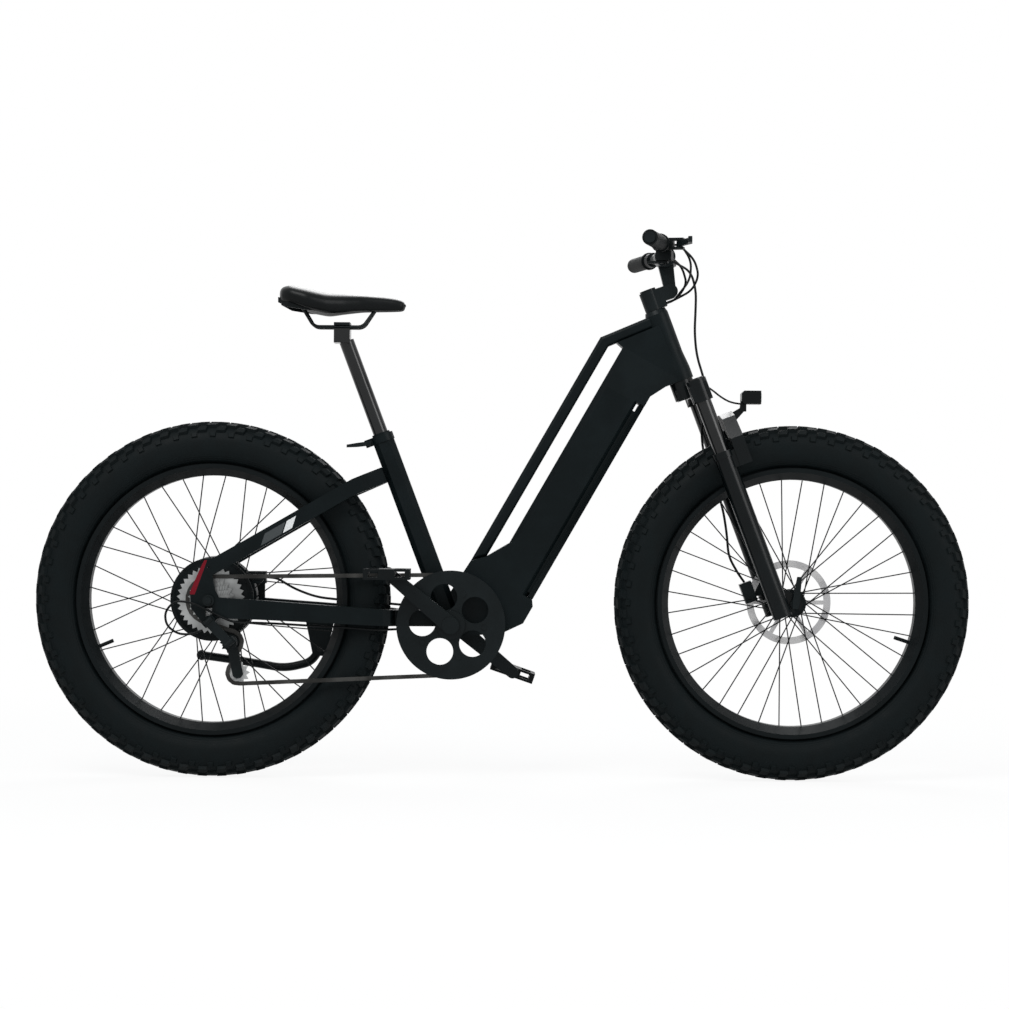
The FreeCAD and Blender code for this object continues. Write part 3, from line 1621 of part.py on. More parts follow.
def headlight_bracket():
    pivot = steering.local(*light_pivot())
    half = S.light_ear / 2
    eye = S.light_pivot_radius * 2
    foot = -S.arch_top - S.arch_thickness * 0.3
    face = S.arch_front
    points = (
        (face, foot - S.light_arm),
        (face + S.light_ear, foot - S.light_arm),
        (pivot[0] + eye * 0.6, pivot[1] - eye * 0.6),
        (pivot[0] + eye * 0.3, pivot[1] + eye * 0.7),
        (pivot[0] - eye * 0.8, pivot[1] + eye * 0.3),
        (face, foot + S.light_ear),
    )
    bar = steering.hold(side_plate("LightTongue", points, -half, half))
    bore = S.light_pivot_radius + S.running_gap
    hole = rod("LightTongueHole", bore, -half - S.overrun, half + S.overrun, light_pivot())
    keep(cut("HeadlightBracket", bar, [hole]), "headlight_bracket")


def headlight():
    half = S.light_width / 2
    long = S.light_length / 2
    high = S.light_height / 2
    nose = S.light_ear
    points = (
        (S.light_x - long, S.light_z - high + nose),
        (S.light_x - long + nose, S.light_z - high),
        (S.light_x + long, S.light_z - high),
        (S.light_x + long, S.light_z + high),
        (S.light_x - long + nose, S.light_z + high),
        (S.light_x - long, S.light_z + high - nose),
    )
    shell = side_plate("LightShell", points, -half, half)
    pivot = light_pivot()
    inner = S.light_ear / 2 + S.moving_gap
    outer = inner + S.light_ear / 2
    eye = S.light_pivot_radius * 1.8
    ear_points = (
        (pivot[0] - eye, pivot[1] - eye),
        (pivot[0] + eye, pivot[1] - eye),
        (pivot[0] + eye, S.light_z),
        (pivot[0] - eye * 0.5, S.light_z),
    )
    drive_ear = side_plate("LightEar", ear_points, -outer, -inner)
    pin = rod("LightPin", S.light_pivot_radius, -outer, outer, pivot)
    keep(fuse("Headlight", [shell, drive_ear, mirror("FarLightEar", drive_ear), pin]), "headlight")


bar_x, bar_z = steering.point(S.bar_reach, S.bar_height)
stem_hinge = steering.point(S.stem_hinge_reach, S.stem_hinge_height)
sweep_turn = math.degrees(math.atan2(float(S.bar_sweep) * 0.9, float(S.bar_width / 2 - S.bar_bend_end)))
grip_x = bar_x - S.bar_sweep * 0.1
grip_z = bar_z + S.bar_rise


# Stem base: a clamp on the steerer, the cable guide under it and two ears for the arm
def stem_base():
    low = S.stem_bottom
    high = low + S.stem_height
    half = S.stem_width / 2
    hinge_u, hinge_w = S.stem_hinge_reach, S.stem_hinge_height
    clamp = post("StemClamp", S.stem_radius, low, high, steering)
    guide_reach = S.stem_radius + S.stem_fork_wall
    guide_high = low + S.stem_fork_wall * 1.5
    guide = block("CableGuide", (0, -half, low), (guide_reach, half, guide_high), steering)
    points = (
        (0, guide_high),
        (hinge_u, hinge_w - S.stem_hinge_radius),
        (hinge_u, hinge_w + S.stem_hinge_radius),
        (0, high),
    )
    arm = steering.hold(side_plate("StemNeck", points, -half, half))
    eye = rod("StemEars", S.stem_hinge_radius, -half, half, stem_hinge)
    tongue = half - S.stem_fork_wall + S.moving_gap
    slot_u = S.stem_radius + S.moving_gap
    slot = block("StemSlot", (slot_u, -tongue, guide_high), (hinge_u * 3, tongue, high * 2), steering)
    bore = post("StemBore", S.steerer_radius + S.seat_gap, low - S.overrun, high + S.overrun, steering)
    whole = cut("StemShape", fuse("StemWhole", [clamp, guide, arm, eye]), [slot, bore])
    bolt = rod("StemBolt", S.pulley_bolt_radius * 2, -half, half, stem_hinge)
    cap = post("StemCap", S.stem_radius - S.rim_lip, high + S.seat_gap, high + S.stem_fork_wall / 2, steering)
    keep(group("StemBase", [fuse("StemClampBolt", [whole, bolt]), cap]), "stem_base")


# Stem arm: a tongue between the ears and the clamp that holds the handlebar
def stem_arm():
    half = S.stem_width / 2 - S.stem_fork_wall
    hinge_u, hinge_w = S.stem_hinge_reach, S.stem_hinge_height
    root = S.stem_hinge_radius - S.rim_lip
    clamp_radius = S.bar_clamp_radius + S.faceplate_wall
    points = (
        (hinge_u - root, hinge_w),
        (hinge_u + root, hinge_w),
        (S.bar_reach + clamp_radius * 0.8, S.bar_height),
        (S.bar_reach - clamp_radius * 0.8, S.bar_height),
    )
    bar = steering.hold(side_plate("StemTongue", points, -half, half))
    eye = rod("StemTongueEye", root, -half, half, stem_hinge)
    wide = S.bar_clamp_width / 2
    clamp = rod("BarClamp", clamp_radius, -wide, wide, (bar_x, bar_z))
    pin = rod("StemTongueBore", S.pulley_bolt_radius * 2 + S.seat_gap, -wide, wide, stem_hinge)
    far = wide + S.overrun
    bore = rod("BarClampBore", S.bar_clamp_radius + S.seat_gap, -far, far, (bar_x, bar_z))
    keep(cut("StemArm", fuse("StemArmWhole", [bar, eye, clamp]), [pin, bore]), "stem_arm")


def handlebar():
    half = [
        (grip_x - S.bar_sweep * 0.9, S.bar_width / 2, grip_z),
        (grip_x, S.bar_bend_end, grip_z),
        (bar_x, S.bar_bend_start, bar_z),
    ]
    right = [Vector(float(x), -float(y), float(z)) for x, y, z in half]
    left = [Vector(float(x), float(y), float(z)) for x, y, z in reversed(half)]
    wire = route_wire(right + left, ROUTE_ARC_SHARE, float(S.bar_bend_radius))
    bent = feature("BarTube", swept(wire, S.bar_radius))
    wide = S.bar_clamp_width / 2 + S.faceplate_wall
    middle = rod("BarMiddle", S.bar_clamp_radius, -wide, wide, (bar_x, bar_z))
    keep(fuse("Handlebar", [bent, middle]), "handlebar")


# Pieces on the grip run of the bar: out along it, forward of it and up from it, on the drive side
def grip_point(forward, out):
    c, s = math.cos(math.radians(sweep_turn)), math.sin(math.radians(sweep_turn))
    return grip_x + forward * c - out * s, -S.bar_bend_end - forward * s - out * c


def on_grip_run(thing, forward, out, up):
    x, y = grip_point(cell(forward), cell(out))
    return put(thing, x, y, grip_z + up, (0, 0, 1), -sweep_turn)


def run_block(name, forwards, outs, ups):
    box = doc.addObject("Part::Box", name)
    bind(box, Length=forwards[1] - forwards[0], Width=outs[1] - outs[0], Height=ups[1] - ups[0])
    return on_grip_run(box, forwards[0], outs[1], ups[0])


def run_ring(name, inner, outer, low, high):
    body = ring(name, inner, outer, low, high)
    c, s = math.cos(math.radians(sweep_turn)), math.sin(math.radians(sweep_turn))
    return put(body, grip_x, -S.bar_bend_end, grip_z, (c, -s, 0), 90)


def grips():
    end = (S.bar_width / 2 - S.bar_bend_end) / math.cos(math.radians(sweep_turn))
    inner = S.bar_radius + S.seat_gap
    sleeve = run_ring("GripSleeve", inner, S.grip_radius, end - S.grip_length, end - S.rim_lip)
    collar_out = end - S.grip_length + S.faceplate_wall
    collar = run_ring("GripCollar", inner, S.grip_radius + S.rim_lip, end - S.grip_length, collar_out)
    drive = fuse("DriveGrip", [sleeve, collar])
    keep(group("Grips", [drive, mirror("FarGrip", drive)]), "grips")


bracket_out = (S.bar_width / 2 - S.bar_bend_end) - S.grip_length - S.bracket_width - S.faceplate_wall
lever_forward = S.bracket_reach
lever_out = bracket_out + S.bracket_width / 2


# Brake brackets on both sides, each with two ears and a pin, and the shifter housing on the drive side
def control_brackets():
    inner = S.bar_radius + S.seat_gap
    outer = S.bar_radius + S.bracket_wall
    high = bracket_out + S.bracket_width
    clamp = run_ring("BracketClamp", inner, outer, bracket_out, high)
    ear = S.lever_height / 2 + S.moving_gap
    top = ear + S.bracket_wall
    reach = S.bracket_reach + S.lever_pivot_radius * 3
    body = run_block("BracketBody", (inner + S.rim_lip, reach), (bracket_out, high), (-top, top))
    gap_start = S.bracket_reach - S.lever_pivot_radius * 4
    gap = run_block(
        "BracketGap",
        (gap_start, reach + S.overrun),
        (bracket_out - S.overrun, high + S.overrun),
        (-ear, ear),
    )
    pin = doc.addObject("Part::Cylinder", "BracketPin")
    bind(pin, Radius=S.lever_pivot_radius, Height=top * 2)
    on_grip_run(pin, lever_forward, lever_out, -top)
    bracket = fuse("DriveBracket", [clamp, cut("BracketFork", body, [gap]), pin])
    shift_out = bracket_out - S.shifter_width - S.rim_lip
    shift_clamp = run_ring("ShifterClamp", inner, outer, shift_out, shift_out + S.shifter_width)
    back = S.bar_radius + S.bracket_wall
    shift_body = run_block(
        "ShifterBody",
        (-back, back),
        (shift_out, shift_out + S.shifter_width),
        (-S.shifter_drop, -S.bar_radius - S.rim_lip / 2),
    )
    shift_pin = doc.addObject("Part::Cylinder", "ShifterPin")
    bind(shift_pin, Radius=S.lever_pivot_radius, Height=S.shift_lever_thickness * 2)
    shift_bottom = -S.shifter_drop - S.shift_lever_thickness * 2
    on_grip_run(shift_pin, 0, shift_out + S.shifter_width / 2, shift_bottom)
    shifter = fuse("Shifter", [shift_clamp, shift_body, shift_pin])
    keep(group("ControlBrackets", [bracket, mirror("FarBracket", bracket), shifter]), "control_brackets")


def brake_levers():
    half = S.lever_thickness / 2
    eye = S.lever_pivot_radius * 2
    points = (
        (-eye, eye),
        (-eye, -eye * 0.6),
        (eye, -eye),
        (eye + S.lever_length * 0.3, -S.lever_length * 0.6),
        (eye + S.lever_length * 0.36, -S.lever_length),
        (eye + S.lever_length * 0.36 - half * 2, -S.lever_length),
        (eye + S.lever_length * 0.3 - half * 2.4, -S.lever_length * 0.6),
        (eye - half, -eye * 2.4),
        (-eye * 0.4, -eye * 1.6),
    )
    order = (points[0], points[1], points[8], points[7], points[6], points[5], points[4], points[3], points[2])
    blade = padded("LeverBlade", "XY_Plane", order, -S.lever_height / 2, S.lever_height)
    on_grip_run(blade, lever_forward, lever_out, 0)
    bore = doc.addObject("Part::Cylinder", "LeverBore")
    bind(bore, Radius=S.lever_pivot_radius + S.running_gap, Height=S.lever_height * 2)
    on_grip_run(bore, lever_forward, lever_out, -S.lever_height)
    drive = cut("DriveLever", blade, [bore])
    keep(drive, "right_brake_lever")
    keep(mirror("FarLever", drive), "left_brake_lever")


def shift_lever():
    shift_out = bracket_out - S.shifter_width / 2 - S.rim_lip
    top = -S.shifter_drop - S.moving_gap
    eye = S.lever_pivot_radius * 2.4
    points = (
        (-S.shift_lever_length, -eye * 0.8),
        (-S.shift_lever_length * 0.4, -eye),
        (eye, -eye),
        (eye, eye),
        (-eye, eye),
        (-S.shift_lever_length, eye * 0.8),
    )
    blade = padded("ShiftBlade", "XY_Plane", points, -S.shift_lever_thickness, S.shift_lever_thickness)
    on_grip_run(blade, 0, shift_out, top)
    bore = doc.addObject("Part::Cylinder", "ShiftBore")
    bind(bore, Radius=S.lever_pivot_radius + S.running_gap, Height=S.shifter_drop)
    on_grip_run(bore, 0, shift_out, -S.shifter_drop * 1.5)
    keep(cut("ShiftLever", blade, [bore]), "shift_lever")


# Display on its own clamp beside the stem
def display():
    ring_low = S.bar_clamp_width / 2 + S.faceplate_wall + S.rim_lip
    ring_high = S.bar_bend_start - S.rim_lip
    inner = S.bar_radius + S.seat_gap
    clamp = across(ring("DisplayClamp", inner, inner + S.faceplate_wall, -ring_high, -ring_low), (bar_x, bar_z), 0)
    base = bar_z + S.bar_clamp_radius + S.faceplate_wall + S.rim_lip
    neck = block(
        "DisplayNeck",
        (bar_x - S.faceplate_wall, ring_low, bar_z + inner + S.rim_lip),
        (bar_x + S.faceplate_wall, ring_high, base + S.rim_lip),
        level,
    )
    middle = S.display_width * 0.7
    half = S.display_height / 2
    case = block(
        "DisplayCase",
        (bar_x - half, middle - S.display_width / 2, base),
        (bar_x + half, middle + S.display_width / 2, base + S.display_thickness),
        level,
    )
    keep(fuse("Display", [clamp, neck, case]), "display")


def place_on(frame, u, y, w):
    x, z = frame.point(cell(u), cell(w))
    return float(x), float(y), float(z)


# Control cables in open loops: brake and shift from the drive side, the display's wire from its case
def control_cables():
    guide_u = S.stem_radius + S.stem_fork_wall
    guide_w = S.stem_bottom + S.stem_fork_wall * 0.75
    bend = S.bracket_reach / 2
    starts = []
    for forward, up in ((lever_forward * 0.8, 0), (lever_forward * 0.3, -S.shifter_drop * 0.8)):
        out = bracket_out if float(up) == 0 else bracket_out - S.shifter_width - S.rim_lip
        x, y = grip_point(forward, out - S.moving_gap)
        next_x, next_y = grip_point(forward + S.rim_lip, out - bend)
        first = (float(x), float(y), float(grip_z + up))
        starts.append((first, (float(next_x), float(next_y), float(grip_z + up - S.rim_lip / 2))))
    routes = []
    for share, (first, second), sag in zip((0.6, 0.1), starts, (0, 14)):
        end_y = -float(S.stem_width) / 2 * share
        end = place_on(steering, guide_u + S.running_gap, end_y, guide_w)
        before = place_on(steering, guide_u + bend, end_y, guide_w)
        x, z = second[0], float(grip_z)
        routes.append(
            (
                first,
                second,
                (x + 34 - sag, second[1] * 0.72, z - 26 - sag),
                (x + 46 - sag, second[1] * 0.46, z - 56 - sag),
                (x + 34 - sag, second[1] * 0.26, z - 84 - sag * 0.6),
                before,
                end,
            )
        )
    case_x, case_z = float(bar_x + S.display_height / 2 + S.moving_gap), float(bar_z) + 31
    end = place_on(steering, guide_u + S.running_gap, float(S.stem_width) * 0.28, guide_w)
    before = place_on(steering, guide_u + bend, float(S.stem_width) * 0.28, guide_w)
    routes.append(
        (
            (case_x, 30, case_z),
            (case_x + 18, 30, case_z - 3),
            (case_x + 38, 26, case_z - 34),
            (case_x + 36, 18, case_z - 76),
            before,
            end,
        )
    )
    cords = [feature(f"ControlCable{i}", cord(route, S.cable_radius)) for i, route in enumerate(routes)]
    keep(group("ControlCables", cords), "control_cables")


# Front brake hose: down before the head tube, past the crown and behind the far leg to the caliper
def front_hose():
    bend = S.bracket_reach / 2
    x, y = grip_point(lever_forward * 0.8, bracket_out - S.running_gap)
    next_x, next_y = grip_point(lever_forward * 0.8 + S.rim_lip * 2, bracket_out - bend)
    u, w = front_caliper_centre()
    top = w + S.caliper_length / 2 + S.moving_gap * 1.2
    caliper_y = float(S.front_rotor_place) + 8
    route = [
        (float(x), -float(y), float(grip_z)),
        (float(next_x), -float(next_y), float(grip_z) - 2),
        (404, 134, 1092),
        (414, 108, 1048),
        (412, 88, 1003),
        (409, 72, 956),
        (413, 60, 905),
        place_on(steering, 52, 54, -12),
        place_on(steering, 44, 57, -66),
        place_on(steering, 12, 63, -104),
        place_on(steering, -4, 65, -160),
        place_on(steering, -3, 66, -222),
        place_on(steering, -5, 66, -285),
        place_on(steering, -16, 65, -340),
        place_on(steering, -30, 63, -388),
        place_on(steering, u - 6, caliper_y, top + 22),
        place_on(steering, u, caliper_y, top),
    ]
    keep(feature("FrontHose", cord(route, S.hose_radius)), "front_hose")


def front_caliper_centre():
    return steering.local(front_x - S.rotor_radius * 0.96, axle_z + S.rotor_radius * 0.23)


# Brake calipers: a block slotted over the disc, with the foot that carries it
def front_caliper():
    u, w = front_caliper_centre()
    long = S.caliper_length / 2
    half = S.caliper_height / 2
    place = S.front_rotor_place
    near = place - S.caliper_inner
    far = near + S.caliper_width
    body = block("FrontCaliperBody", (u - half, near, w - long), (u + half, far, w + long), steering)
    foot = block(
        "FrontCaliperFoot",
        (u, far - S.rim_lip, w - long * 0.7),
        (S.leg_offset - S.lowers_radius / 2, far + S.caliper_slot * 2, w + long * 0.7),
        steering,
    )
    half_slot = S.caliper_slot / 2
    disc_radius = S.rotor_radius + S.moving_gap * 2
    disc = rod("FrontCaliperDisc", disc_radius, place - half_slot, place + half_slot, (front_x, axle_z))
    leg = post("FrontCaliperLeg", S.lowers_radius + S.seat_gap, -S.lowers_bottom, -S.lowers_top, steering,
               S.leg_offset, S.leg_spread / 2)
    keep(cut("FrontCaliper", fuse("FrontCaliperWhole", [body, foot]), [disc, leg]), "front_brake_caliper")


def rear_caliper():
    x, z = rear_x + S.rotor_radius * 0.94, axle_z + S.rotor_radius * 0.5
    long = S.caliper_length / 2
    half = S.caliper_height / 2
    place = S.rear_rotor_place
    near = place - S.caliper_inner
    far = near + S.caliper_width
    body = block("RearCaliperBody", (x - long, near, z - half), (x + long, far, z + half), level)
    foot_low = far - S.rim_lip
    foot_back = x - long * CALIPER_FOOT_SHARE
    foot_front = x + long * CALIPER_FOOT_SHARE
    foot_points = (
        (foot_back, chainstay_top(foot_back) + S.running_gap),
        (foot_front, chainstay_top(foot_front) + S.running_gap),
        (foot_front, z),
        (foot_back, z),
    )
    foot = side_plate("RearCaliperFoot", foot_points, foot_low, foot_low + S.caliper_slot * 2)
    half_slot = S.caliper_slot / 2
    disc_radius = S.rotor_radius + S.moving_gap * 2
    disc = rod("RearCaliperDisc", disc_radius, place - half_slot, place + half_slot, (rear_x, axle_z))
    keep(cut("RearCaliper", fuse("RearCaliperWhole", [body, foot]), [disc]), "rear_brake_caliper")


# Cables on the rear frame: shift housing to the derailleur, brake hose to the rear caliper
def rear_cables():
    y = -float(S.stay_gap + S.stay_thickness * 0.5)
    housing = (
        (-215, -44, 317.5),
        (-262, y * 0.94, 316),
        (-330, y, 321),
        (-400, y, 324),
        (-470, y * 1.04, 328),
        (-520, y * 1.12, 330),
        (-560, -100, 331),
        (-585, -109, 342),
        (-615, -112, 357),
        (-648, -114, 373),
        (-684, -115, 376),
        (-704, -115, 352),
        (-700, -115, 324),
        (-676, -114, 307),
        (-650, -114, 306),
        (-628, -115, 314),
    )
    hose = (
        (-215, 40, 366),
        (-262, 58, 369),
        (-330, 66, 373),
        (-400, 68, 380),
        (-448, 68, 398),
        (-484, 67, 420),
        (-506.4, 66, 422),
    )
    cords = [feature("ShiftHousing", cord(housing, S.cable_radius)), feature("RearHose", cord(hose, S.hose_radius))]
    keep(group("RearCables", cords), "rear_cables")


# Seatpost with the head that carries the saddle's rails
rail_z = S.saddle_rear_z - S.saddle_drop - S.saddle_skirt - S.rail_spread / 2 + S.rail_radius / 2
clamp_x = S.saddle_rear_x + S.saddle_length / 2


def seatpost():
    bar = post("SeatpostBar", S.seatpost_radius, S.seatpost_bottom, S.seatpost_top, seat)
    half = S.rail_clamp_length / 2
    wide = S.rail_spread / 2 + S.faceplate_wall
    top = rail_z - S.rail_radius - S.seat_gap
    head = block("SeatpostHead", (clamp_x - half, -wide, top - S.rail_drop), (clamp_x + half, wide, top), level)
    keep(fuse("Seatpost", [bar, head]), "seatpost")


def saddle_rails():
    wide = S.rail_spread / 2
    half = S.rail_clamp_length / 2
    route = (
        (clamp_x - half * 5, wide * 1.4, rail_z + S.rail_spread * 0.968),
        (clamp_x - half * 3.5, wide, rail_z),
        (clamp_x + half * 2.6, wide, rail_z),
        (clamp_x + half * 4.2, wide * 0.4, rail_z + S.rail_spread * 0.9),
    )
    points = [tuple(float(size) for size in point) for point in route]
    wire = route_wire([Vector(*point) for point in points], ROUTE_ARC_SHARE, float(S.bar_bend_radius) / 3)
    rail = feature("DriveRail", swept(wire, S.rail_radius))
    low = rail_z + S.rail_radius + S.seat_gap
    plate = block(
        "RailClamp",
        (clamp_x - half, -wide - S.faceplate_wall, low),
        (clamp_x + half, wide + S.faceplate_wall, low + S.faceplate_wall),
        level,
    )
    keep(group("SaddleRails", [rail, mirror("FarRail", rail), plate]), "saddle_rails")


SADDLE_STATION_SHARES = (
    (0.0, 0.66, 0.70, 0.16),
    (0.08, 0.92, 1.0, 0.0),
    (0.235, 1.0, 0.98, 0.30),
    (0.385, 0.82, 0.88, 0.62),
    (0.51, 0.56, 0.74, 0.70),
    (0.66, 0.39, 0.60, 0.74),
    (0.83, 0.31, 0.54, 0.82),
    (0.945, 0.26, 0.46, 0.95),
    (1.0, 0.16, 0.24, 1.28),
)
COVER_SHARES = (
    (0.0, 0.0), (0.45, 0.04), (0.8, 0.16), (1.0, 0.45), (0.95, 0.85),
    (0.88, 1.0), (0.82, 0.9), (0.84, 0.58), (0.0, 0.55),
)
SHELL_SHARES = ((0.0, 0.57), (0.82, 0.60), (0.80, 0.88), (0.72, 0.88), (0.74, 0.70), (0.0, 0.67))


# A saddle piece drawn through cross sections from the tail to the nose
def saddle_loft(shares):
    height = float(S.saddle_skirt + S.saddle_pad) * 0.9
    wires = []
    for along, width, tall, fall in SADDLE_STATION_SHARES:
        x = float(S.saddle_rear_x + S.saddle_length * along)
        half = float(S.saddle_width) / 2 * width
        top = float(S.saddle_rear_z) + float(S.rail_radius) - float(S.saddle_drop) * fall
        right = [Vector(x, half * out, top - height * tall * down) for out, down in shares]
        left = [Vector(point.x, -point.y, point.z) for point in reversed(right[1:-1])]
        corners = right + left
        wires.append(Part.makePolygon(corners + corners[:1]))
    return Part.makeLoft(wires, True, True)


def saddle():
    keep(feature("SaddleShell", saddle_loft(SHELL_SHARES)), "saddle_shell")
    keep(feature("SaddleCover", saddle_loft(COVER_SHARES)), "saddle_cover")


# Seat clamp: a split collar on the seat tube's neck, with two ears and a rod for its lever
def seat_clamp():
    inner = S.seat_neck_radius + S.seat_gap
    outer = inner + S.clamp_wall
    low = S.seat_tube_length + S.seat_gap
    high = low + S.clamp_height
    collar = seat.hold(ring("ClampCollar", inner, outer, low, high))
    wide = S.clamp_ear_width / 2
    ears = block("ClampEars", (-outer - S.clamp_ear, -wide, low), (-inner, wide, high), seat)
    gap = block("ClampSplit", (-outer - S.clamp_ear * 2, -S.rim_lip / 2, low - S.rim_lip),
                (0, S.rim_lip / 2, high + S.rim_lip), seat)
    space = post("ClampSpace", inner, low - S.rim_lip, high + S.rim_lip, seat)
    split = cut("ClampShape", fuse("ClampWhole", [collar, ears]), [gap, space])
    rod_u = -outer - S.clamp_ear / 2
    spot = seat.point(rod_u, low + S.clamp_height / 2)
    lever_out = wide + S.rim_lip + S.clamp_lever_thickness
    bolt = rod("ClampRod", S.rail_radius, -lever_out, wide + S.rim_lip, spot)
    nut = rod("ClampNut", S.rail_radius * 2, wide, wide + S.rim_lip * 2, spot)
    keep(fuse("SeatClamp", [split, bolt, nut]), "seat_clamp")
    points = (
        (-S.clamp_lever_width * 0.7, -S.clamp_lever_width * 0.6),
        (S.clamp_lever_width * 0.6, -S.clamp_lever_width * 0.6),
        (S.clamp_lever_width * 0.6, S.clamp_lever_width * 0.5),
        (-S.clamp_lever_length * 0.5, S.clamp_lever_width * 0.1),
        (-S.clamp_lever_length, -S.clamp_lever_width * 0.3),
        (-S.clamp_lever_length, -S.clamp_lever_width * 0.9),
        (-S.clamp_lever_length * 0.5, -S.clamp_lever_width * 0.8),
    )
    near = wide + S.rim_lip / 2
    blade = side_plate("ClampBlade", tuple(reversed(points)), -near - S.clamp_lever_thickness, -near)
    put(blade, spot[0], 0, spot[1], (0, 1, 0), 0)
    bore = rod("ClampBladeBore", S.rail_radius + S.running_gap, -lever_out * 2, 0, spot)
    keep(cut("SeatClampLever", blade, [bore]), "seat_clamp_lever")


# Kickstand leg: a pin in the plate, a boss beside it and the bent leg folded along the wheel
def kickstand():
    spot = (S.kickstand_x, S.kickstand_z)
    near = S.stay_gap + S.plate_thickness
    far = near + S.kickstand_plate_thickness
    pin = rod("KickstandPin", S.kickstand_pivot_radius, near, far + S.overrun, spot)
    boss = rod("KickstandBoss", S.kickstand_radius * 1.4, far + S.moving_gap, far + S.overrun, spot)
    x, z = float(S.kickstand_x), float(S.kickstand_z)
    y = float(far + S.overrun / 2 + S.moving_gap)
    route = (
        (x, y, z),
        (x - 20, y + 3, z - 29),
        (x - 76, y + 6, z - 43),
        (x - 152, y + 8, z - 30),
        (x - 256, y + 10, z - 16),
    )
    leg = feature("KickstandTube", cord(route, S.kickstand_radius))
    foot = doc.addObject("Part::Sphere", "KickstandFoot")
    bind(foot, Radius=S.kickstand_radius * 1.25)
    put(foot, x - 256, y + 10, z - 16, (0, 0, 1), 0)
    keep(fuse("KickstandLeg", [pin, boss, leg, foot]), "kickstand_leg")


hanger_spot = (rear_x + S.rim_lip / 2, axle_z - S.chainstay_rear_height)
link_run = (S.guide_x - hanger_spot[0], S.guide_z - hanger_spot[1])
link_turn = math.degrees(math.atan2(-float(link_run[1]), float(link_run[0])))
link_reach = cell(math.hypot(float(link_run[0]), float(link_run[1])))
link_frame = Lean(hanger_spot[0], hanger_spot[1], link_turn)
CROWN_END_SHARE = 0.85
CROWN_ROOT_SHARE = 0.6
CALIPER_FOOT_SHARE = 0.8
BARREL_SHARE = 0.35
barrel_radius = S.link_height * BARREL_SHARE
hanger_face = S.rear_spacing / 2 + S.plate_thickness
link_y = -(hanger_face + S.plate_thickness + S.moving_gap * 2 + barrel_radius)


def link_ears(name, u):
    half = S.link_height / 2 + S.moving_gap
    wall = S.rim_lip
    deep = barrel_radius
    back = -link_y - deep
    pieces = []
    for tag, low in (("Low", -half - wall), ("High", half)):
        lows = (u - deep, link_y - deep * 0.6, low)
        highs = (u + deep, -back + deep + S.moving_gap, low + wall)
        pieces.append(block(name + tag, lows, highs, link_frame))
    pieces.append(post(name + "Pin", S.pulley_bolt_radius, -half - wall, half + wall, link_frame, u, link_y))
    lows = (u - deep, -back + S.moving_gap * 2, -half - wall)
    highs = (u + deep, -back + deep + S.moving_gap, half + wall)
    pieces.append(block(name + "Back", lows, highs, link_frame))
    return pieces


def derailleur():
    far = -link_y - barrel_radius - S.moving_gap
    hanger = rod("HangerBoss", S.cage_round, -far, -hanger_face, hanger_spot)
    mount = fuse("DerailleurMount", [hanger] + link_ears("MountEar", 0))
    half = S.link_height / 2
    bars = [
        post("LinkTop", barrel_radius, -half, half, link_frame, 0, link_y),
        post("LinkEnd", barrel_radius, -half, half, link_frame, link_reach, link_y),
    ]
    wall = barrel_radius * 0.6
    lows = (0, link_y - wall, -half)
    bars.append(block("LinkBar", lows, (link_reach, link_y + wall, half), link_frame))
    holes = []
    for tag, u in (("A", 0), ("B", link_reach)):
        radius = S.pulley_bolt_radius + S.running_gap
        holes.append(post("LinkBore" + tag, radius, -half * 2, half * 2, link_frame, u, link_y))
    keep(cut("DerailleurLink", fuse("LinkWhole", bars), holes), "derailleur_link")
    outer_plate = S.chain_place + S.cage_half_width + S.cage_plate
    knuckle_in = -outer_plate - S.moving_gap
    body = rod("KnuckleBody", S.knuckle_radius, S.knuckle_setback - far, knuckle_in, guide_spot)
    socket_radius = S.pulley_bolt_radius * 2 + S.running_gap
    socket_end = knuckle_in - S.overrun - S.moving_gap
    socket = rod("KnuckleSocket", socket_radius, socket_end, knuckle_in + S.overrun, guide_spot)
    knuckle = cut("KnuckleShape", body, [socket])
    keep(fuse("DerailleurKnuckle", [knuckle] + link_ears("KnuckleEar", link_reach)), "derailleur_knuckle")
    return mount


# Derailleur cage: two plates, their bolts and the stub that turns in the knuckle
def derailleur_cage():
    turn = math.degrees(cage_turn)
    cage = Lean(S.guide_x, S.guide_z, -turn)
    wide = S.cage_round
    reach = S.cage_length
    points = (
        (-wide, -wide * 0.4),
        (-wide * 0.4, -wide),
        (reach + wide * 0.4, -wide),
        (reach + wide, -wide * 0.4),
        (reach + wide, wide * 0.4),
        (reach + wide * 0.4, wide),
        (-wide * 0.4, wide),
        (-wide, wide * 0.4),
    )
    inner = S.chain_place - S.cage_half_width
    outer = S.chain_place + S.cage_half_width
    near = cage.hold(side_plate("CageOuter", points, -outer - S.cage_plate, -outer))
    far = cage.hold(side_plate("CageInner", points, -inner, -inner + S.cage_plate))
    pieces = [near, far]
    for tag, spot in (("Guide", guide_spot), ("Tension", tension_spot)):
        low = -outer - S.cage_plate
        pieces.append(rod(tag + "Bolt", S.pulley_bolt_radius, low, -inner + S.cage_plate, spot))
    stub_end = -outer - S.cage_plate - S.overrun
    pieces.append(rod("CageStub", S.pulley_bolt_radius * 2, stub_end, -outer, guide_spot))
    keep(fuse("DerailleurCage", pieces), "derailleur_cage")


def pulleys():
    bore = S.pulley_bolt_radius + S.running_gap
    teeth = int(float(S.pulley_teeth))
    for name, spot, phase in (("tension", tension_spot, tooth_phases[1]), ("guide", guide_spot, tooth_phases[2])):
        wheel = feature(name.title() + "Teeth", toothed(teeth, S.pulley_thickness, bore, phase))
        keep(across(wheel, spot, -S.chain_place), name + "_pulley")


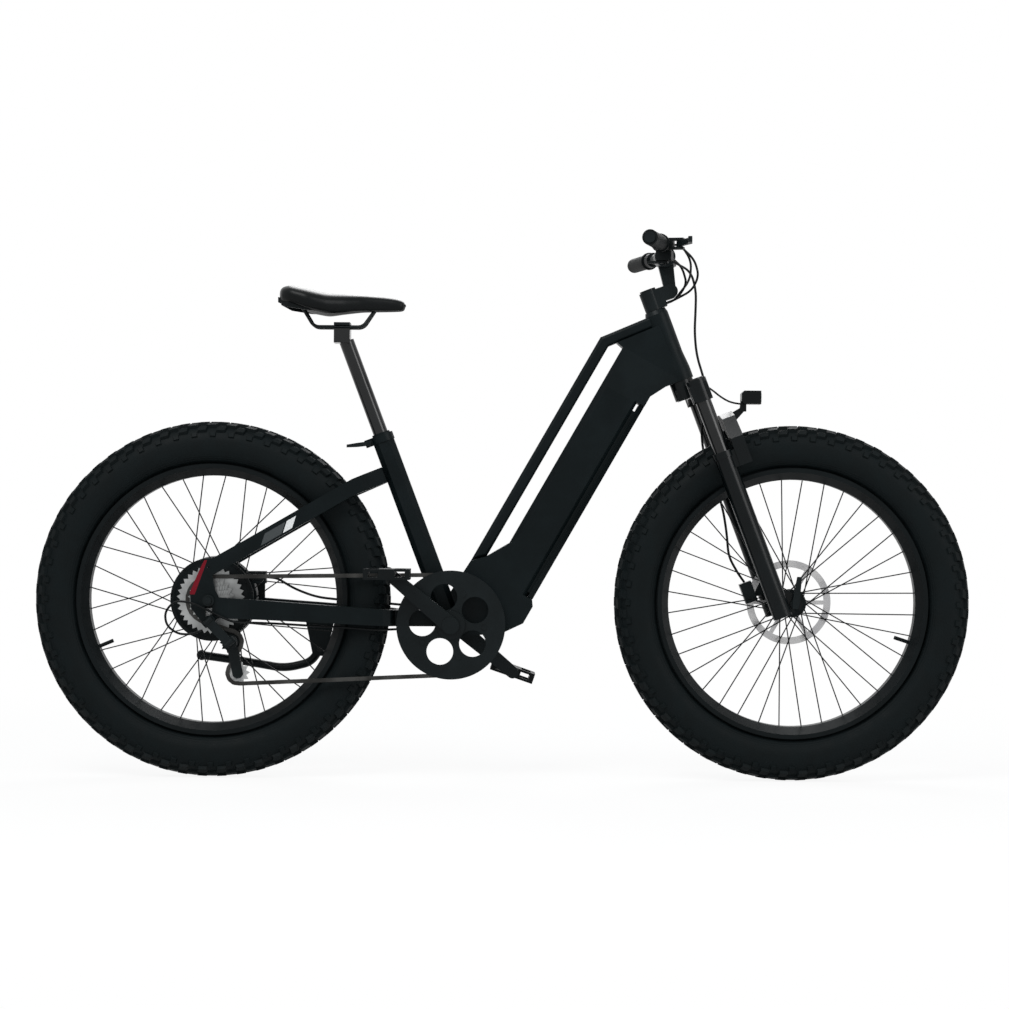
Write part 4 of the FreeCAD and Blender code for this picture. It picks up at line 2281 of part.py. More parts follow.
rear_spot = (rear_x, axle_z)
front_spot = (front_x, axle_z)
head_tube()
top_tube()
down_tube()
battery_pack()
seat_tube()
bottom_bracket_shell()
bearings()
chainstays()
seatstays()
dropouts(derailleur())
rear_axle()
tyre("rear", rear_spot, 90)
tyre("front", front_spot, 90)
rim("rear", rear_spot, S.rear_valve_angle)
rim("front", front_spot, S.front_valve_angle)
spokes("rear", rear_spot, S.rear_flange_radius, S.rear_flange_spread, S.rear_flange_width,
       S.spoke_cross_angle / 2, "rear_spokes")
spokes("front", front_spot, S.front_hub_flange, S.front_flange_spread, S.front_flange_width,
       S.spoke_cross_angle, "front_spokes")
front_hub(front_spot)
rear_hub(rear_spot)
rotor("front", front_spot, S.front_rotor_place, S.front_hub_end)
rotor("rear", rear_spot, S.rear_rotor_place, S.rear_boss_radius)
chain()
cassette()
chainring()
crank_arms()
pedal("RightPedal", S.crank_angle, -1, S.right_pedal_tilt, "right_pedal")
pedal("LeftPedal", S.crank_angle + 180, 1, S.left_pedal_tilt, "left_pedal")
fork_crown()
stanchions()
fork_lowers()
front_axle()
front_axle_lever()
headlight_bracket()
headlight()
stem_base()
stem_arm()
handlebar()
grips()
control_brackets()
brake_levers()
shift_lever()
display()
control_cables()
front_hose()
front_caliper()
rear_caliper()
rear_cables()
seatpost()
saddle_rails()
saddle()
seat_clamp()
kickstand()
derailleur_cage()
pulleys()

doc.recompute()
faults = [f"{thing.Name}: {thing.State}" for thing in doc.Objects if {"Invalid", "Error"} & set(thing.State)]
for thing in subparts:
    if thing.Shape.isNull() or not thing.Shape.isValid():
        faults.append(f"{thing.Label}: shape")
if faults:
    raise RuntimeError("; ".join(faults))
os.makedirs("parts", exist_ok=True)
for thing in subparts:
    thing.Shape.exportStep(f"parts/{thing.Label}.step")
print(f"{len(subparts)} sub-parts, {link_count} links, cage at {math.degrees(cage_turn):.1f} degrees")
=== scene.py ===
import bpy
import math
import numpy as np
from mathutils import Matrix, Vector


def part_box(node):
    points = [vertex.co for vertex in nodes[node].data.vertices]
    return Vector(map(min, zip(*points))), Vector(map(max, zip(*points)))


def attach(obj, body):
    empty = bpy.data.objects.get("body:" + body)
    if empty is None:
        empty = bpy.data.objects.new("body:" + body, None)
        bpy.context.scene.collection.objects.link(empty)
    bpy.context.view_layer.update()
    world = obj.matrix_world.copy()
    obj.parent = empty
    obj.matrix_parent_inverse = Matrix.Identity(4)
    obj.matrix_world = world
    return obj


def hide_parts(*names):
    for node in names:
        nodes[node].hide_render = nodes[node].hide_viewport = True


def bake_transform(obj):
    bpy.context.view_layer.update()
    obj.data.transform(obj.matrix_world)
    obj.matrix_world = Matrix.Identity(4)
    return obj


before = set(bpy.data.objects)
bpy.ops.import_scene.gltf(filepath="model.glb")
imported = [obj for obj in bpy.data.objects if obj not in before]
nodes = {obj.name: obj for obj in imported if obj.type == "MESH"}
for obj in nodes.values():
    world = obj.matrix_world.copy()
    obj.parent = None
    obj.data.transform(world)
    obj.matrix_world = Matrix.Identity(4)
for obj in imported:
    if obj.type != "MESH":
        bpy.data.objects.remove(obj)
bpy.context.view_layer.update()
print("frame loaded:", len(nodes), "nodes")


def middleOf(node):
    low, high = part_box(node)
    return [(a + b) / 2 for a, b in zip(low, high)]


rearX, frontX, axleZ = middleOf("rear_rim")[0], middleOf("front_rim")[0], middleOf("rear_rim")[2]


# a socket of a node tree; arithmetic on it adds Math nodes
class Wire:
    def __init__(self, tree, socket=None):
        self.tree = tree
        self.socket = socket

    # any node: its type, its settings, and the values or links of its sockets
    def node(self, kind, settings, sockets, out=0):
        new = self.tree.nodes.new(kind)
        for key, value in settings.items():
            setattr(new, key, value)
        for key, value in sockets.items():
            if isinstance(value, Wire):
                self.tree.links.new(value.socket, new.inputs[key])
            else:
                new.inputs[key].default_value = value
        return Wire(self.tree, new.outputs[out] if len(new.outputs) else None)

    def maths(self, operation, first, second):
        return self.node("ShaderNodeMath", {"operation": operation}, {0: first, 1: second})

    def __add__(self, other):
        return self.maths("ADD", self, other)

    def __radd__(self, other):
        return self.maths("ADD", other, self)

    def __sub__(self, other):
        return self.maths("SUBTRACT", self, other)

    def __rsub__(self, other):
        return self.maths("SUBTRACT", other, self)

    def __mul__(self, other):
        return self.maths("MULTIPLY", self, other)

    def __rmul__(self, other):
        return self.maths("MULTIPLY", other, self)

    def __abs__(self):
        return self.maths("ABSOLUTE", self, 0)

    def fade(self, low, high):  # 0 below low, 1 above high, smooth between
        return self.node("ShaderNodeMapRange", {"interpolation_type": "SMOOTHSTEP"},
                         {"Value": self, "From Min": low, "From Max": high})

    def band(self, low, high, soft):  # 1 between low and high
        return self.fade(low - soft, low + soft) * (1 - self.fade(high - soft, high + soft))

    def ripple(self, turns):  # a sine wave from 0 to 1
        return self.maths("SINE", self * turns, 0) * 0.5 + 0.5


# an empty material and its Object coordinates
def newMaterial(name):
    material = bpy.data.materials.new(name)
    material.use_nodes = True
    material.node_tree.nodes.clear()
    return material, Wire(material.node_tree).node("ShaderNodeTexCoord", {}, {}, "Object")


socketNames = {"colour": "Base Color", "rough": "Roughness", "metal": "Metallic", "coat": "Coat Weight",
               "coatRough": "Coat Roughness", "normal": "Normal", "shine": "Specular IOR Level",
               "glow": "Emission Color", "glowPower": "Emission Strength"}


def principled(place, **values):
    sockets = {socketNames[key]: value for key, value in values.items()}
    return place.node("ShaderNodeBsdfPrincipled", {}, sockets)


def show(shader):
    shader.node("ShaderNodeOutputMaterial", {}, {"Surface": shader})


texture = {"layerShare": 0.55, "grainLayers": 2.0}  # strength of each finer layer, and layers of a grain


def noise(place, scale, layers):
    return place.node("ShaderNodeTexNoise", {}, {"Vector": place, "Scale": scale, "Detail": layers,
                                                 "Roughness": texture["layerShare"]})


# soft patches from 0 to 1: noise of a scale and a number of layers, spread between two of its levels
def cloudy(place, look):
    scale, layers, low, high = look["cloud"]
    return noise(place, scale, layers).fade(low, high)


def grainy(place, look):
    return noise(place, look["grain"], texture["grainLayers"])


# a colour Mix takes its mask at socket 0 and its colours at 6 and 7, and gives the colour at output 2
def mixed(mask, first, second):
    return mask.node("ShaderNodeMix", {"data_type": "RGBA"}, {0: mask, 6: first, 7: second}, 2)


def rgba(colour):
    return (*colour, 1.0)


def toned(cloud, look):
    return mixed(cloud, rgba(look["tone"]), rgba(look["colour"]))


def bumped(height, look):
    return height.node("ShaderNodeBump", {}, {"Strength": look["bump"], "Distance": look["depth"],
                                              "Height": height})


def axisOf(place, letter):
    return place.node("ShaderNodeSeparateXYZ", {}, {0: place}, letter)


def lengthOf(place):
    return place.node("ShaderNodeVectorMath", {"operation": "LENGTH"}, {0: place}, 1)


def fromAxle(place, x):
    return place.node("ShaderNodeMapping", {}, {"Vector": place, "Location": (-x, 0.0, -axleZ)})


# finishes: colour, darker tone of its cloudy variation, roughness range, grain and its depth in metres,
# metal, shine off the surface (0.5 is plain plastic) and lacquer; what a finish leaves out is as in plain
plain = {"metal": 0.0, "coat": 0.0, "coatRough": 0.2, "bump": 0.6, "cloudShare": 0.6,
         "cloud": (14.0, 3.0, 0.35, 0.68)}
finishes = {
    "framePaint": {"colour": (0.0034, 0.0060, 0.0068), "tone": (0.0024, 0.0044, 0.0050),
                   "rough": (0.36, 0.48), "grain": 900, "depth": 0.00003, "shine": 0.075},
    "forkPaint": {"colour": (0.0020, 0.0036, 0.0042), "tone": (0.0014, 0.0026, 0.0030),
                  "rough": (0.24, 0.34), "grain": 700, "depth": 0.00002, "shine": 0.085, "coat": 0.1},
    "rimAnodised": {"colour": (0.0024, 0.0042, 0.0048), "tone": (0.0016, 0.0030, 0.0034),
                    "rough": (0.34, 0.46), "grain": 1600, "depth": 0.00001, "shine": 0.090},
    "spokeBlack": {"colour": (0.0040, 0.0048, 0.0052), "tone": (0.0026, 0.0032, 0.0036),
                   "rough": (0.3, 0.42), "grain": 500, "depth": 0.00001, "shine": 0.120},
    "hubShell": {"colour": (0.0026, 0.0044, 0.0050), "tone": (0.0018, 0.0030, 0.0034),
                 "rough": (0.36, 0.5), "grain": 600, "depth": 0.00004, "shine": 0.090},
    "darkMetal": {"colour": (0.0044, 0.0070, 0.0078), "tone": (0.0030, 0.0050, 0.0056),
                  "rough": (0.3, 0.44), "grain": 800, "depth": 0.00002, "shine": 0.110},
    "chainSteel": {"colour": (0.050, 0.050, 0.048), "tone": (0.020, 0.020, 0.019),
                   "rough": (0.3, 0.5), "grain": 700, "depth": 0.00002, "shine": 0.5, "metal": 0.9},
    "sprocketSteel": {"colour": (0.34, 0.35, 0.35), "tone": (0.17, 0.175, 0.175),
                      "rough": (0.28, 0.44), "grain": 900, "depth": 0.00001, "shine": 0.5, "metal": 1.0},
    "plastic": {"colour": (0.0026, 0.0042, 0.0046), "tone": (0.0018, 0.0030, 0.0034),
                "rough": (0.42, 0.56), "grain": 1100, "depth": 0.00005, "shine": 0.100},
    "paleNylon": {"colour": (0.46, 0.46, 0.45), "tone": (0.34, 0.34, 0.34),
                  "rough": (0.4, 0.52), "grain": 1100, "depth": 0.00004, "shine": 0.4},
    "cableJacket": {"colour": (0.0022, 0.0032, 0.0036), "tone": (0.0015, 0.0022, 0.0026),
                    "rough": (0.4, 0.5), "grain": 900, "depth": 0.00003, "shine": 0.110},
    "gripRubber": {"colour": (0.0026, 0.0040, 0.0044), "tone": (0.0018, 0.0028, 0.0031),
                   "rough": (0.58, 0.72), "grain": 1400, "depth": 0.00012, "shine": 0.100},
    "stanchion": {"colour": (0.0040, 0.0048, 0.0052), "tone": (0.0028, 0.0034, 0.0038),
                  "rough": (0.16, 0.24), "grain": 500, "depth": 0.000005, "shine": 0.25, "coat": 0.12},
    "saddleSkin": {"colour": (0.0018, 0.0028, 0.0032), "tone": (0.0012, 0.0020, 0.0022),
                   "rough": (0.30, 0.42), "grain": 420, "depth": 0.00018, "shine": 0.120},
    "batteryCase": {"colour": (0.0032, 0.0056, 0.0063), "tone": (0.0024, 0.0043, 0.0048),
                    "rough": (0.40, 0.52), "grain": 1000, "depth": 0.00004, "shine": 0.075},
    "lampHousing": {"colour": (0.0022, 0.0034, 0.0038), "tone": (0.0015, 0.0024, 0.0027),
                    "rough": (0.22, 0.34), "grain": 900, "depth": 0.00002, "shine": 0.120},
}


def plainFinish(name):
    look = {**plain, **finishes[name]}
    material, place = newMaterial(name)
    cloud, grain = cloudy(place, look), grainy(place, look)
    smooth, rough = look["rough"]
    uneven = cloud * look["cloudShare"] + grain * (1 - look["cloudShare"])
    show(principled(place, colour=toned(cloud, look), rough=smooth + (rough - smooth) * uneven,
                    metal=look["metal"], shine=look["shine"], coat=look["coat"], coatRough=look["coatRough"],
                    normal=bumped(grain, look)))
    return material


# the frame's paint with a mark on it; the mark's roughness is a least value and what the cloud adds
def markedPaint(name, mark, addMark):
    look = {**plain, **finishes["framePaint"]}
    material, place = newMaterial(name)
    cloud, grain = cloudy(place, look), grainy(place, look)
    smooth, added = mark["rough"]
    show(principled(place, colour=addMark(place, toned(cloud, look)), rough=smooth + cloud * added,
                    shine=look["shine"], normal=bumped(grain, look)))
    return material


# seatstay: a dark grey band and a short white one, lying along the stay on its outer side;
# metres along the bike and across the stay, whose lean gives its middle line
stripe = {"bands": (((-0.502, -0.459), (0.050, 0.056, 0.058)), ((-0.456, -0.437), (0.62, 0.63, 0.63))),
          "across": (-0.011, 0.007), "slant": 0.45, "lean": (0.863, 0.505, 0.6913), "outside": (0.060, 0.062),
          "soft": 0.0003, "rough": (0.36, 0.1)}


def addStripes(place, paint):
    x, y, z = (axisOf(place, letter) for letter in "XYZ")
    up, back, middle = stripe["lean"]
    across = z * up - x * back - middle  # height over the stay's middle line, square to it
    along = x - across * stripe["slant"]
    strip = across.band(*stripe["across"], stripe["soft"]) * abs(y).fade(*stripe["outside"])
    for reach, colour in stripe["bands"]:
        paint = mixed(strip * along.band(*reach, stripe["soft"]), paint, rgba(colour))
    return paint


# dropout: its rear edge is painted red, measured square to the line from top to low, a little over its top
redEdge = {"top": (-0.6337, 0.4531), "low": (-0.6564, 0.3892), "width": 0.0125, "over": 0.008,
           "colour": (0.13, 0.006, 0.012), "soft": 0.0004, "rough": (0.34, 0.1)}


def addRedEdge(place, paint):
    (topX, topZ), (lowX, lowZ) = redEdge["top"], redEdge["low"]
    reach = math.hypot(topX - lowX, topZ - lowZ)
    x, z = axisOf(place, "X"), axisOf(place, "Z")
    across = (x - lowX) * ((topZ - lowZ) / reach) - (z - lowZ) * ((topX - lowX) / reach)
    edge = 1 - across.fade(redEdge["width"], redEdge["width"] + redEdge["soft"])
    mark = edge * z.band(lowZ, topZ + redEdge["over"], redEdge["soft"])
    return mixed(mark, paint, rgba(redEdge["colour"]))


# brake discs: ground steel with a fine turned grain round each axle
discSteel = {"colour": (0.50, 0.50, 0.50), "tone": (0.40, 0.40, 0.41), "cloud": (30.0, 3.0, 0.3, 0.7),
             "metal": 1.0, "rings": 5200.0, "rough": 0.22, "ringRough": 0.1, "cloudRough": 0.08,
             "bump": 0.3, "depth": 0.00001}


def turnedSteel(name, x):
    material, place = newMaterial(name)
    lines = lengthOf(fromAxle(place, x)).ripple(discSteel["rings"])
    cloud = cloudy(place, discSteel)
    rough = discSteel["rough"] + lines * discSteel["ringRough"] + cloud * discSteel["cloudRough"]
    show(principled(place, colour=toned(cloud, discSteel), metal=discSteel["metal"], rough=rough,
                    normal=bumped(lines, discSteel)))
    return material


# tyre rubber: matt, with fine moulding lines round the sidewall, between two radii in metres
tyreLook = {"colour": (0.0030, 0.0052, 0.0058), "tone": (0.0020, 0.0036, 0.0040), "shine": 0.08,
            "cloud": (22.0, 4.0, 0.32, 0.7), "rough": 0.56, "cloudRough": 0.14, "ribs": 1500.0,
            "ribBand": (0.292, 0.306), "ribSoft": 0.002, "grain": 1400.0, "grainShare": 0.25,
            "bump": 0.7, "depth": 0.0004}


def tyreRubber(name, x):
    material, place = newMaterial(name)
    spot = fromAxle(place, x)
    flat = spot.node("ShaderNodeVectorMath", {"operation": "MULTIPLY"}, {0: spot, 1: (1.0, 0.0, 1.0)})
    radius = lengthOf(flat)
    ribs = radius.ripple(tyreLook["ribs"]) * radius.band(*tyreLook["ribBand"], tyreLook["ribSoft"])
    cloud, grain = cloudy(place, tyreLook), grainy(place, tyreLook)
    show(principled(place, colour=toned(cloud, tyreLook), shine=tyreLook["shine"],
                    rough=tyreLook["rough"] + cloud * tyreLook["cloudRough"],
                    normal=bumped(grain * tyreLook["grainShare"] + ribs, tyreLook)))
    return material


# the CAD nodes that wear each finish
nodeFinish = {
    "framePaint": "head_tube top_tube down_tube seat_tube bottom_bracket_shell chainstays seat_clamp",
    "forkPaint": "fork_crown fork_lowers headlight_bracket",
    "rimAnodised": "front_rim rear_rim",
    "spokeBlack": "front_spokes rear_spokes",
    "hubShell": "front_hub rear_hub_motor",
    "darkMetal": "chainring crank_arms right_brake_lever left_brake_lever front_axle_lever seat_clamp_lever "
                 "kickstand_leg derailleur_link derailleur_knuckle derailleur_cage front_brake_caliper "
                 "rear_brake_caliper stem_base stem_arm handlebar saddle_rails rear_axle front_axle bearings",
    "chainSteel": "chain",
    "sprocketSteel": "cassette",
    "plastic": "right_pedal left_pedal control_brackets display shift_lever guide_pulley saddle_shell",
    "paleNylon": "tension_pulley",
    "cableJacket": "control_cables front_hose rear_cables",
    "gripRubber": "grips",
    "stanchion": "stanchions seatpost",
    "saddleSkin": "saddle_cover",
    "batteryCase": "battery_pack",
    "lampHousing": "headlight",
}


def dress(node, material):
    nodes[node].data.materials.clear()
    nodes[node].data.materials.append(material)


materials = {}
for finish, names in nodeFinish.items():
    materials[finish] = plainFinish(finish)
    for name in names.split():
        dress(name, materials[finish])
dress("seatstays", markedPaint("seatstayPaint", stripe, addStripes))
dress("dropouts", markedPaint("dropoutPaint", redEdge, addRedEdge))
for end, x in (("rear", rearX), ("front", frontX)):
    dress(end + "_rotor", turnedSteel(end + "Disc", x))
    materials[end + "Tyre"] = tyreRubber(end + "TyreRubber", x)
    dress(end + "_tyre", materials[end + "Tyre"])
print("finishes on the CAD nodes")


# smooth is one value for all faces or one for each
def newPiece(name, points, faces, material, smooth=True):
    mesh = bpy.data.meshes.new(name)
    mesh.from_pydata(points.reshape(-1, 3).tolist(), [], faces.tolist())
    mesh.polygons.foreach_set("use_smooth", np.resize(smooth, len(mesh.polygons)))
    mesh.update()
    piece = bpy.data.objects.new(name, mesh)
    bpy.context.scene.collection.objects.link(piece)
    mesh.materials.append(material)
    return piece


# quads of a grid of rows x columns points, closed round its rows or its columns where asked
def gridFaces(rows, columns, closeRows, closeColumns):
    row = np.arange(rows if closeRows else rows - 1)[:, None]
    column = np.arange(columns if closeColumns else columns - 1)[None, :]
    nextRow, nextColumn = (row + 1) % rows, (column + 1) % columns
    corners = (row * columns + column, row * columns + nextColumn,
               nextRow * columns + nextColumn, nextRow * columns + column)
    return np.stack(corners, axis=-1).reshape(-1, 4)


def signedPower(values, power):
    return np.sign(values) * np.abs(values) ** power


# tyre: a smooth section turned round the axle, and rows of tapered knobs standing on it.
# Shares are of the CAD tyre's radius and half width. Swell has the powers of the section's width and height,
# reach its last angle, and taper a knob's top against its base in length, width and skew. A knob row has
# its angle on the section, length along the tread, width, height, shift in pitches and skew; lengths are in
# metres and angles in radians
tyre = {"bead": 0.7594, "liner": 0.7533, "middle": 0.8687, "top": 0.9828, "knobTop": 0.9995, "half": 0.99,
        "beadHalf": 0.68, "tuck": 0.0106, "reach": 2.62, "steps": 61, "turns": 192, "pitches": 56,
        "sink": 0.0022, "taper": (0.76, 0.74, 0.8), "swell": (0.86, 0.80), "probe": 0.02,
        "rows": ((0.16, 0.024, 0.014, 0.006, 0.0, 0.0015), (-0.16, 0.024, 0.014, 0.006, 0.5, -0.0015),
                 (0.50, 0.026, 0.015, 0.006, 0.55, 0.003), (-0.50, 0.026, 0.015, 0.006, 0.05, -0.003),
                 (0.86, 0.021, 0.015, 0.006, 0.05, 0.002), (-0.86, 0.021, 0.015, 0.006, 0.55, -0.002),
                 (1.16, 0.014, 0.012, 0.0035, 0.5, 0.0), (-1.16, 0.014, 0.012, 0.0035, 0.0, 0.0))}
tyreLow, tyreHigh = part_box("rear_tyre")
tyreRadius, tyreHalf = (tyreHigh[2] - tyreLow[2]) / 2, (tyreHigh[1] - tyreLow[1]) / 2


# a rounded section: angle 0 at the tread's middle, growing towards the bead on each side;
# y is a power of the angle's sine, the radius a power of its cosine over or under the widest place
def tyreSection(turn):
    flank, crown = tyre["swell"]
    over, under = tyre["top"] - tyre["middle"], tyre["middle"] - tyre["bead"] + tyre["tuck"]
    tall = np.where(np.cos(turn) > 0, over, under)
    wide = tyreHalf * tyre["half"] * signedPower(np.sin(turn), flank)
    return wide, tyreRadius * (tyre["middle"] + tall * signedPower(np.cos(turn), crown))


# points turned round the axle: y and radius of each, at the angles given
def turnedPoints(y, radius, angles):
    y, radius, angles = np.broadcast_arrays(y, radius, angles)
    return np.stack([radius * np.cos(angles), y, radius * np.sin(angles)], axis=-1).reshape(-1, 3)


# eight corners per knob: a base on the section and a smaller top along the section's normal
def knobRow(turnAt, length, width, height, phase, skew):
    count = tyre["pitches"]
    y, radius = tyreSection(turnAt + tyre["probe"] * np.array([0, 1, -1]))
    side = np.array([y[1] - y[2], radius[1] - radius[2]])
    side = side / np.linalg.norm(side)
    out = np.array([-side[1], side[0]])
    corner = np.array([[-1, -1], [1, -1], [1, 1], [-1, 1]])
    shorter, narrower, straighter = tyre["taper"]
    base = corner * [length / 2, width / 2]
    base[:, 0] += corner[:, 1] * skew
    top = corner * [length / 2 * shorter, width / 2 * narrower]
    top[:, 0] += corner[:, 1] * skew * straighter
    flat = np.concatenate([base, top])
    lift = np.repeat([-tyre["sink"], height], len(corner))
    cornerY = y[0] + flat[:, 1] * side[0] + lift * out[0]
    cornerRadius = np.minimum(radius[0] + flat[:, 1] * side[1] + lift * out[1], tyreRadius * tyre["knobTop"])
    first = (np.arange(count) + phase) * 2 * np.pi / count
    points = turnedPoints(cornerY, cornerRadius, first[:, None] + flat[:, 0] / radius[0])
    # a top and four walls; the base lies inside the tyre and stays open
    sides = np.array([[7, 6, 5, 4], [4, 5, 1, 0], [5, 6, 2, 1], [6, 7, 3, 2], [7, 4, 0, 3]])
    faces = np.arange(count)[:, None, None] * len(flat) + sides
    return points, faces.reshape(-1, 4)


def buildTyre(name, x, body, material, node):
    y, radius = tyreSection(np.linspace(-tyre["reach"], tyre["reach"], tyre["steps"]))
    bead, edge = tyreRadius * tyre["bead"], tyreHalf * tyre["beadHalf"]
    y = np.append(y, [edge, 0.0, -edge])
    radius = np.append(radius, [bead, tyreRadius * tyre["liner"], bead])
    angles = np.linspace(0, 2 * np.pi, tyre["turns"], endpoint=False)
    allPoints = [turnedPoints(y, radius, angles[:, None])]
    allFaces = [gridFaces(len(angles), len(y), True, True)[:, ::-1]]
    offset = len(allPoints[0])
    for row in tyre["rows"]:
        rowPoints, rowFaces = knobRow(*row)
        allPoints.append(rowPoints)
        allFaces.append(rowFaces + offset)
        offset += len(rowPoints)
    faces = np.concatenate(allFaces)
    smooth = np.arange(len(faces)) < len(allFaces[0])  # the knobs stay faceted
    piece = newPiece(name, np.concatenate(allPoints) + [x, 0.0, axleZ], faces, material, smooth)
    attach(piece, body)
    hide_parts(node)


buildTyre("rearTyre", rearX, "rear_wheel", materials["rearTyre"], "rear_tyre")
buildTyre("frontTyre", frontX, "front_wheel", materials["frontTyre"], "front_tyre")
print("tyres built")


# saddle: a crowned skin over the shell, wide at the tail and narrow at the nose. Places run from tail to
# nose, widths are shares of the CAD cover's half width, tops and hems shares of its height; the section's
# powers are of its width, crown and skirt, and it is widest at the waist
saddle = {"rows": 80, "round": 72, "smooth": 11, "powers": (0.72, 0.66, 0.5), "waist": 0.45, "drawnIn": 0.10,
          "groove": 0.0035, "grooveWidth": 0.16, "grooveFrom": 0.1, "grooveLong": 0.75, "grooveEase": 0.7,
          "grooveFall": 3, "hollow": 0.34, "hollowFrom": 0.75, "hollowWide": 0.86, "roundEnds": 0.010,
          "endRise": 0.06,
          "places": [0.0, 0.04, 0.10, 0.235, 0.385, 0.51, 0.66, 0.83, 0.93, 1.0],
          "widths": [0.60, 0.78, 0.92, 1.0, 0.82, 0.56, 0.39, 0.31, 0.28, 0.23],
          "tops": [0.852, 0.953, 0.992, 0.875, 0.734, 0.711, 0.687, 0.633, 0.578, 0.492],
          "hems": [0.383, 0.351, 0.297, 0.086, -0.039, 0.031, 0.101, 0.117, 0.133, 0.164]}


# the line through a key's values, smoothed by a sliding bell-shaped mean
def saddleLine(key, t):
    line = np.interp(t, saddle["places"], saddle[key])
    window = np.hanning(saddle["smooth"])
    return np.convolve(np.pad(line, saddle["smooth"] // 2, mode="edge"), window / window.sum(), mode="valid")


def buildSaddle():
    low, high = (np.array(corner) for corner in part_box("saddle_cover"))
    size = high - low
    t = np.linspace(0, 1, saddle["rows"])
    half = saddleLine("widths", t) * size[1] / 2
    top, hem = (low[2] + saddleLine(key, t) * size[2] for key in ("tops", "hems"))
    middle = hem + (top - hem) * saddle["waist"]
    # section: a rounded box, its upper half swelling into a crown, its skirt drawn in by a share
    around = np.linspace(0, 2 * np.pi, saddle["round"], endpoint=False)
    flank, crown, skirt = saddle["powers"]
    wide = signedPower(np.cos(around), flank)
    up = signedPower(np.sin(around), np.where(np.sin(around) > 0, crown, skirt))
    over, under = np.clip(up, 0, 1), np.clip(-up, 0, 1)
    y = np.outer(half, wide * (1 - saddle["drawnIn"] * under))
    z = middle[:, None] + np.outer(top - middle, over) - np.outer(middle - hem, under)
    # a shallow groove along the middle of the top, and a hollow under the skirt
    ridge = np.exp(-(wide / saddle["grooveWidth"]) ** 2) * over ** saddle["grooveFall"]
    along = np.clip((t - saddle["grooveFrom"]) / saddle["grooveLong"], 0, 1)
    z = z - np.outer(saddle["groove"] * np.sin(along * np.pi) ** saddle["grooveEase"], ridge)
    deep = np.clip((under - saddle["hollowFrom"]) / (1 - saddle["hollowFrom"]), 0, 1)
    inside = np.clip(1 - np.abs(wide) / saddle["hollowWide"], 0, 1)
    z = z + np.outer((top - hem) * saddle["hollow"], deep * inside)
    # both ends close in a quarter round
    x = low[0] + size[0] * t
    gone = np.clip(1 - np.minimum(x - x[0], x[-1] - x) / saddle["roundEnds"], 0, 1)
    shrink = np.sqrt(1 - gone ** 2)[:, None]
    centre = (middle + (top - hem) * saddle["endRise"])[:, None]
    x = np.broadcast_to(x[:, None], y.shape)
    points = np.stack([x, y * shrink, centre + (z - centre) * shrink], axis=-1)
    piece = newPiece("saddleSkin", points, gridFaces(*y.shape, False, True), materials["saddleSkin"])
    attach(piece, "seat")
    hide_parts("saddle_cover")


buildSaddle()
print("saddle built")

# glass of the lens and the screen: smooth, lacquered, with faint patches a little brighter than its colour,
# and a faint painted glow of that colour given by an emission
glass = {"cloud": (60.0, 3.0, 0.3, 0.7), "brighter": 1.15, "rough": 0.06, "cloudRough": 0.05, "shine": 0.5,
         "coat": 0.6, "coatRough": 0.05}


def glassFinish(name, colour, glow):
    material, place = newMaterial(name)
    cloud = cloudy(place, glass)
    bright = [share * glass["brighter"] for share in colour]
    # the emission is painted light: a faint painted glow in the glass's own colour
    show(principled(place, colour=mixed(cloud, rgba(colour), rgba(bright)), shine=glass["shine"],
                    rough=glass["rough"] + cloud * glass["cloudRough"], coat=glass["coat"],
                    coatRough=glass["coatRough"], glow=rgba(colour), glowPower=glow))
    return material


# a grid over the square from -1 to 1, and the same grid with its corners drawn in towards a disc
def roundedGrid(columns, rows, drawnIn):
    u, v = np.meshgrid(np.linspace(-1, 1, columns), np.linspace(-1, 1, rows))
    return u, v, u * np.sqrt(1 - v ** 2 * drawnIn), v * np.sqrt(1 - u ** 2 * drawnIn)


# headlight: a domed clear lens on its front face, with fine upright flutes; its dome falls to the rim. Its
# glow is a faint painted glow, an emission of the lens colour
lens = {"grid": (45, 25), "corners": 0.35, "share": 0.84, "dome": 0.0022, "domePower": 4, "flutes": 11,
        "fluteDepth": 0.0003, "skin": 0.0003, "colour": (0.55, 0.56, 0.55), "glow": 0.12}


def buildLens():
    low, high = (np.array(corner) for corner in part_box("headlight"))
    u, v, wide, tall = roundedGrid(*lens["grid"], lens["corners"])
    fall = 1 - np.maximum(np.abs(u), np.abs(v)) ** lens["domePower"]
    flutes = lens["fluteDepth"] * np.cos(u * np.pi * lens["flutes"])
    x = high[0] + lens["skin"] + (lens["dome"] + flutes) * fall
    y = (high[1] - low[1]) / 2 * lens["share"] * wide
    # the housing's front face, from the mesh's foremost points
    spots = np.empty(len(nodes["headlight"].data.vertices) * 3)
    nodes["headlight"].data.vertices.foreach_get("co", spots)
    face = spots.reshape(-1, 3)[spots[::3] > high[0] - lens["skin"], 2]
    z = (face.max() + face.min()) / 2 + (face.max() - face.min()) / 2 * lens["share"] * tall
    piece = newPiece("headlightLens", np.stack([x, y, z], axis=-1), gridFaces(*u.shape, False, False),
                     glassFinish("lensGlass", lens["colour"], lens["glow"]))
    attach(piece, "headlight")


buildLens()

# display: a dark glass screen set on the top of its case, with rounded corners and a slight crown; its glow
# is a faint painted glow, an emission of the screen colour
screen = {"grid": (33, 25), "corners": 0.12, "long": 0.80, "wide": 0.72, "lift": 0.0003, "crown": 0.0008,
          "colour": (0.012, 0.014, 0.016), "glow": 0.02}


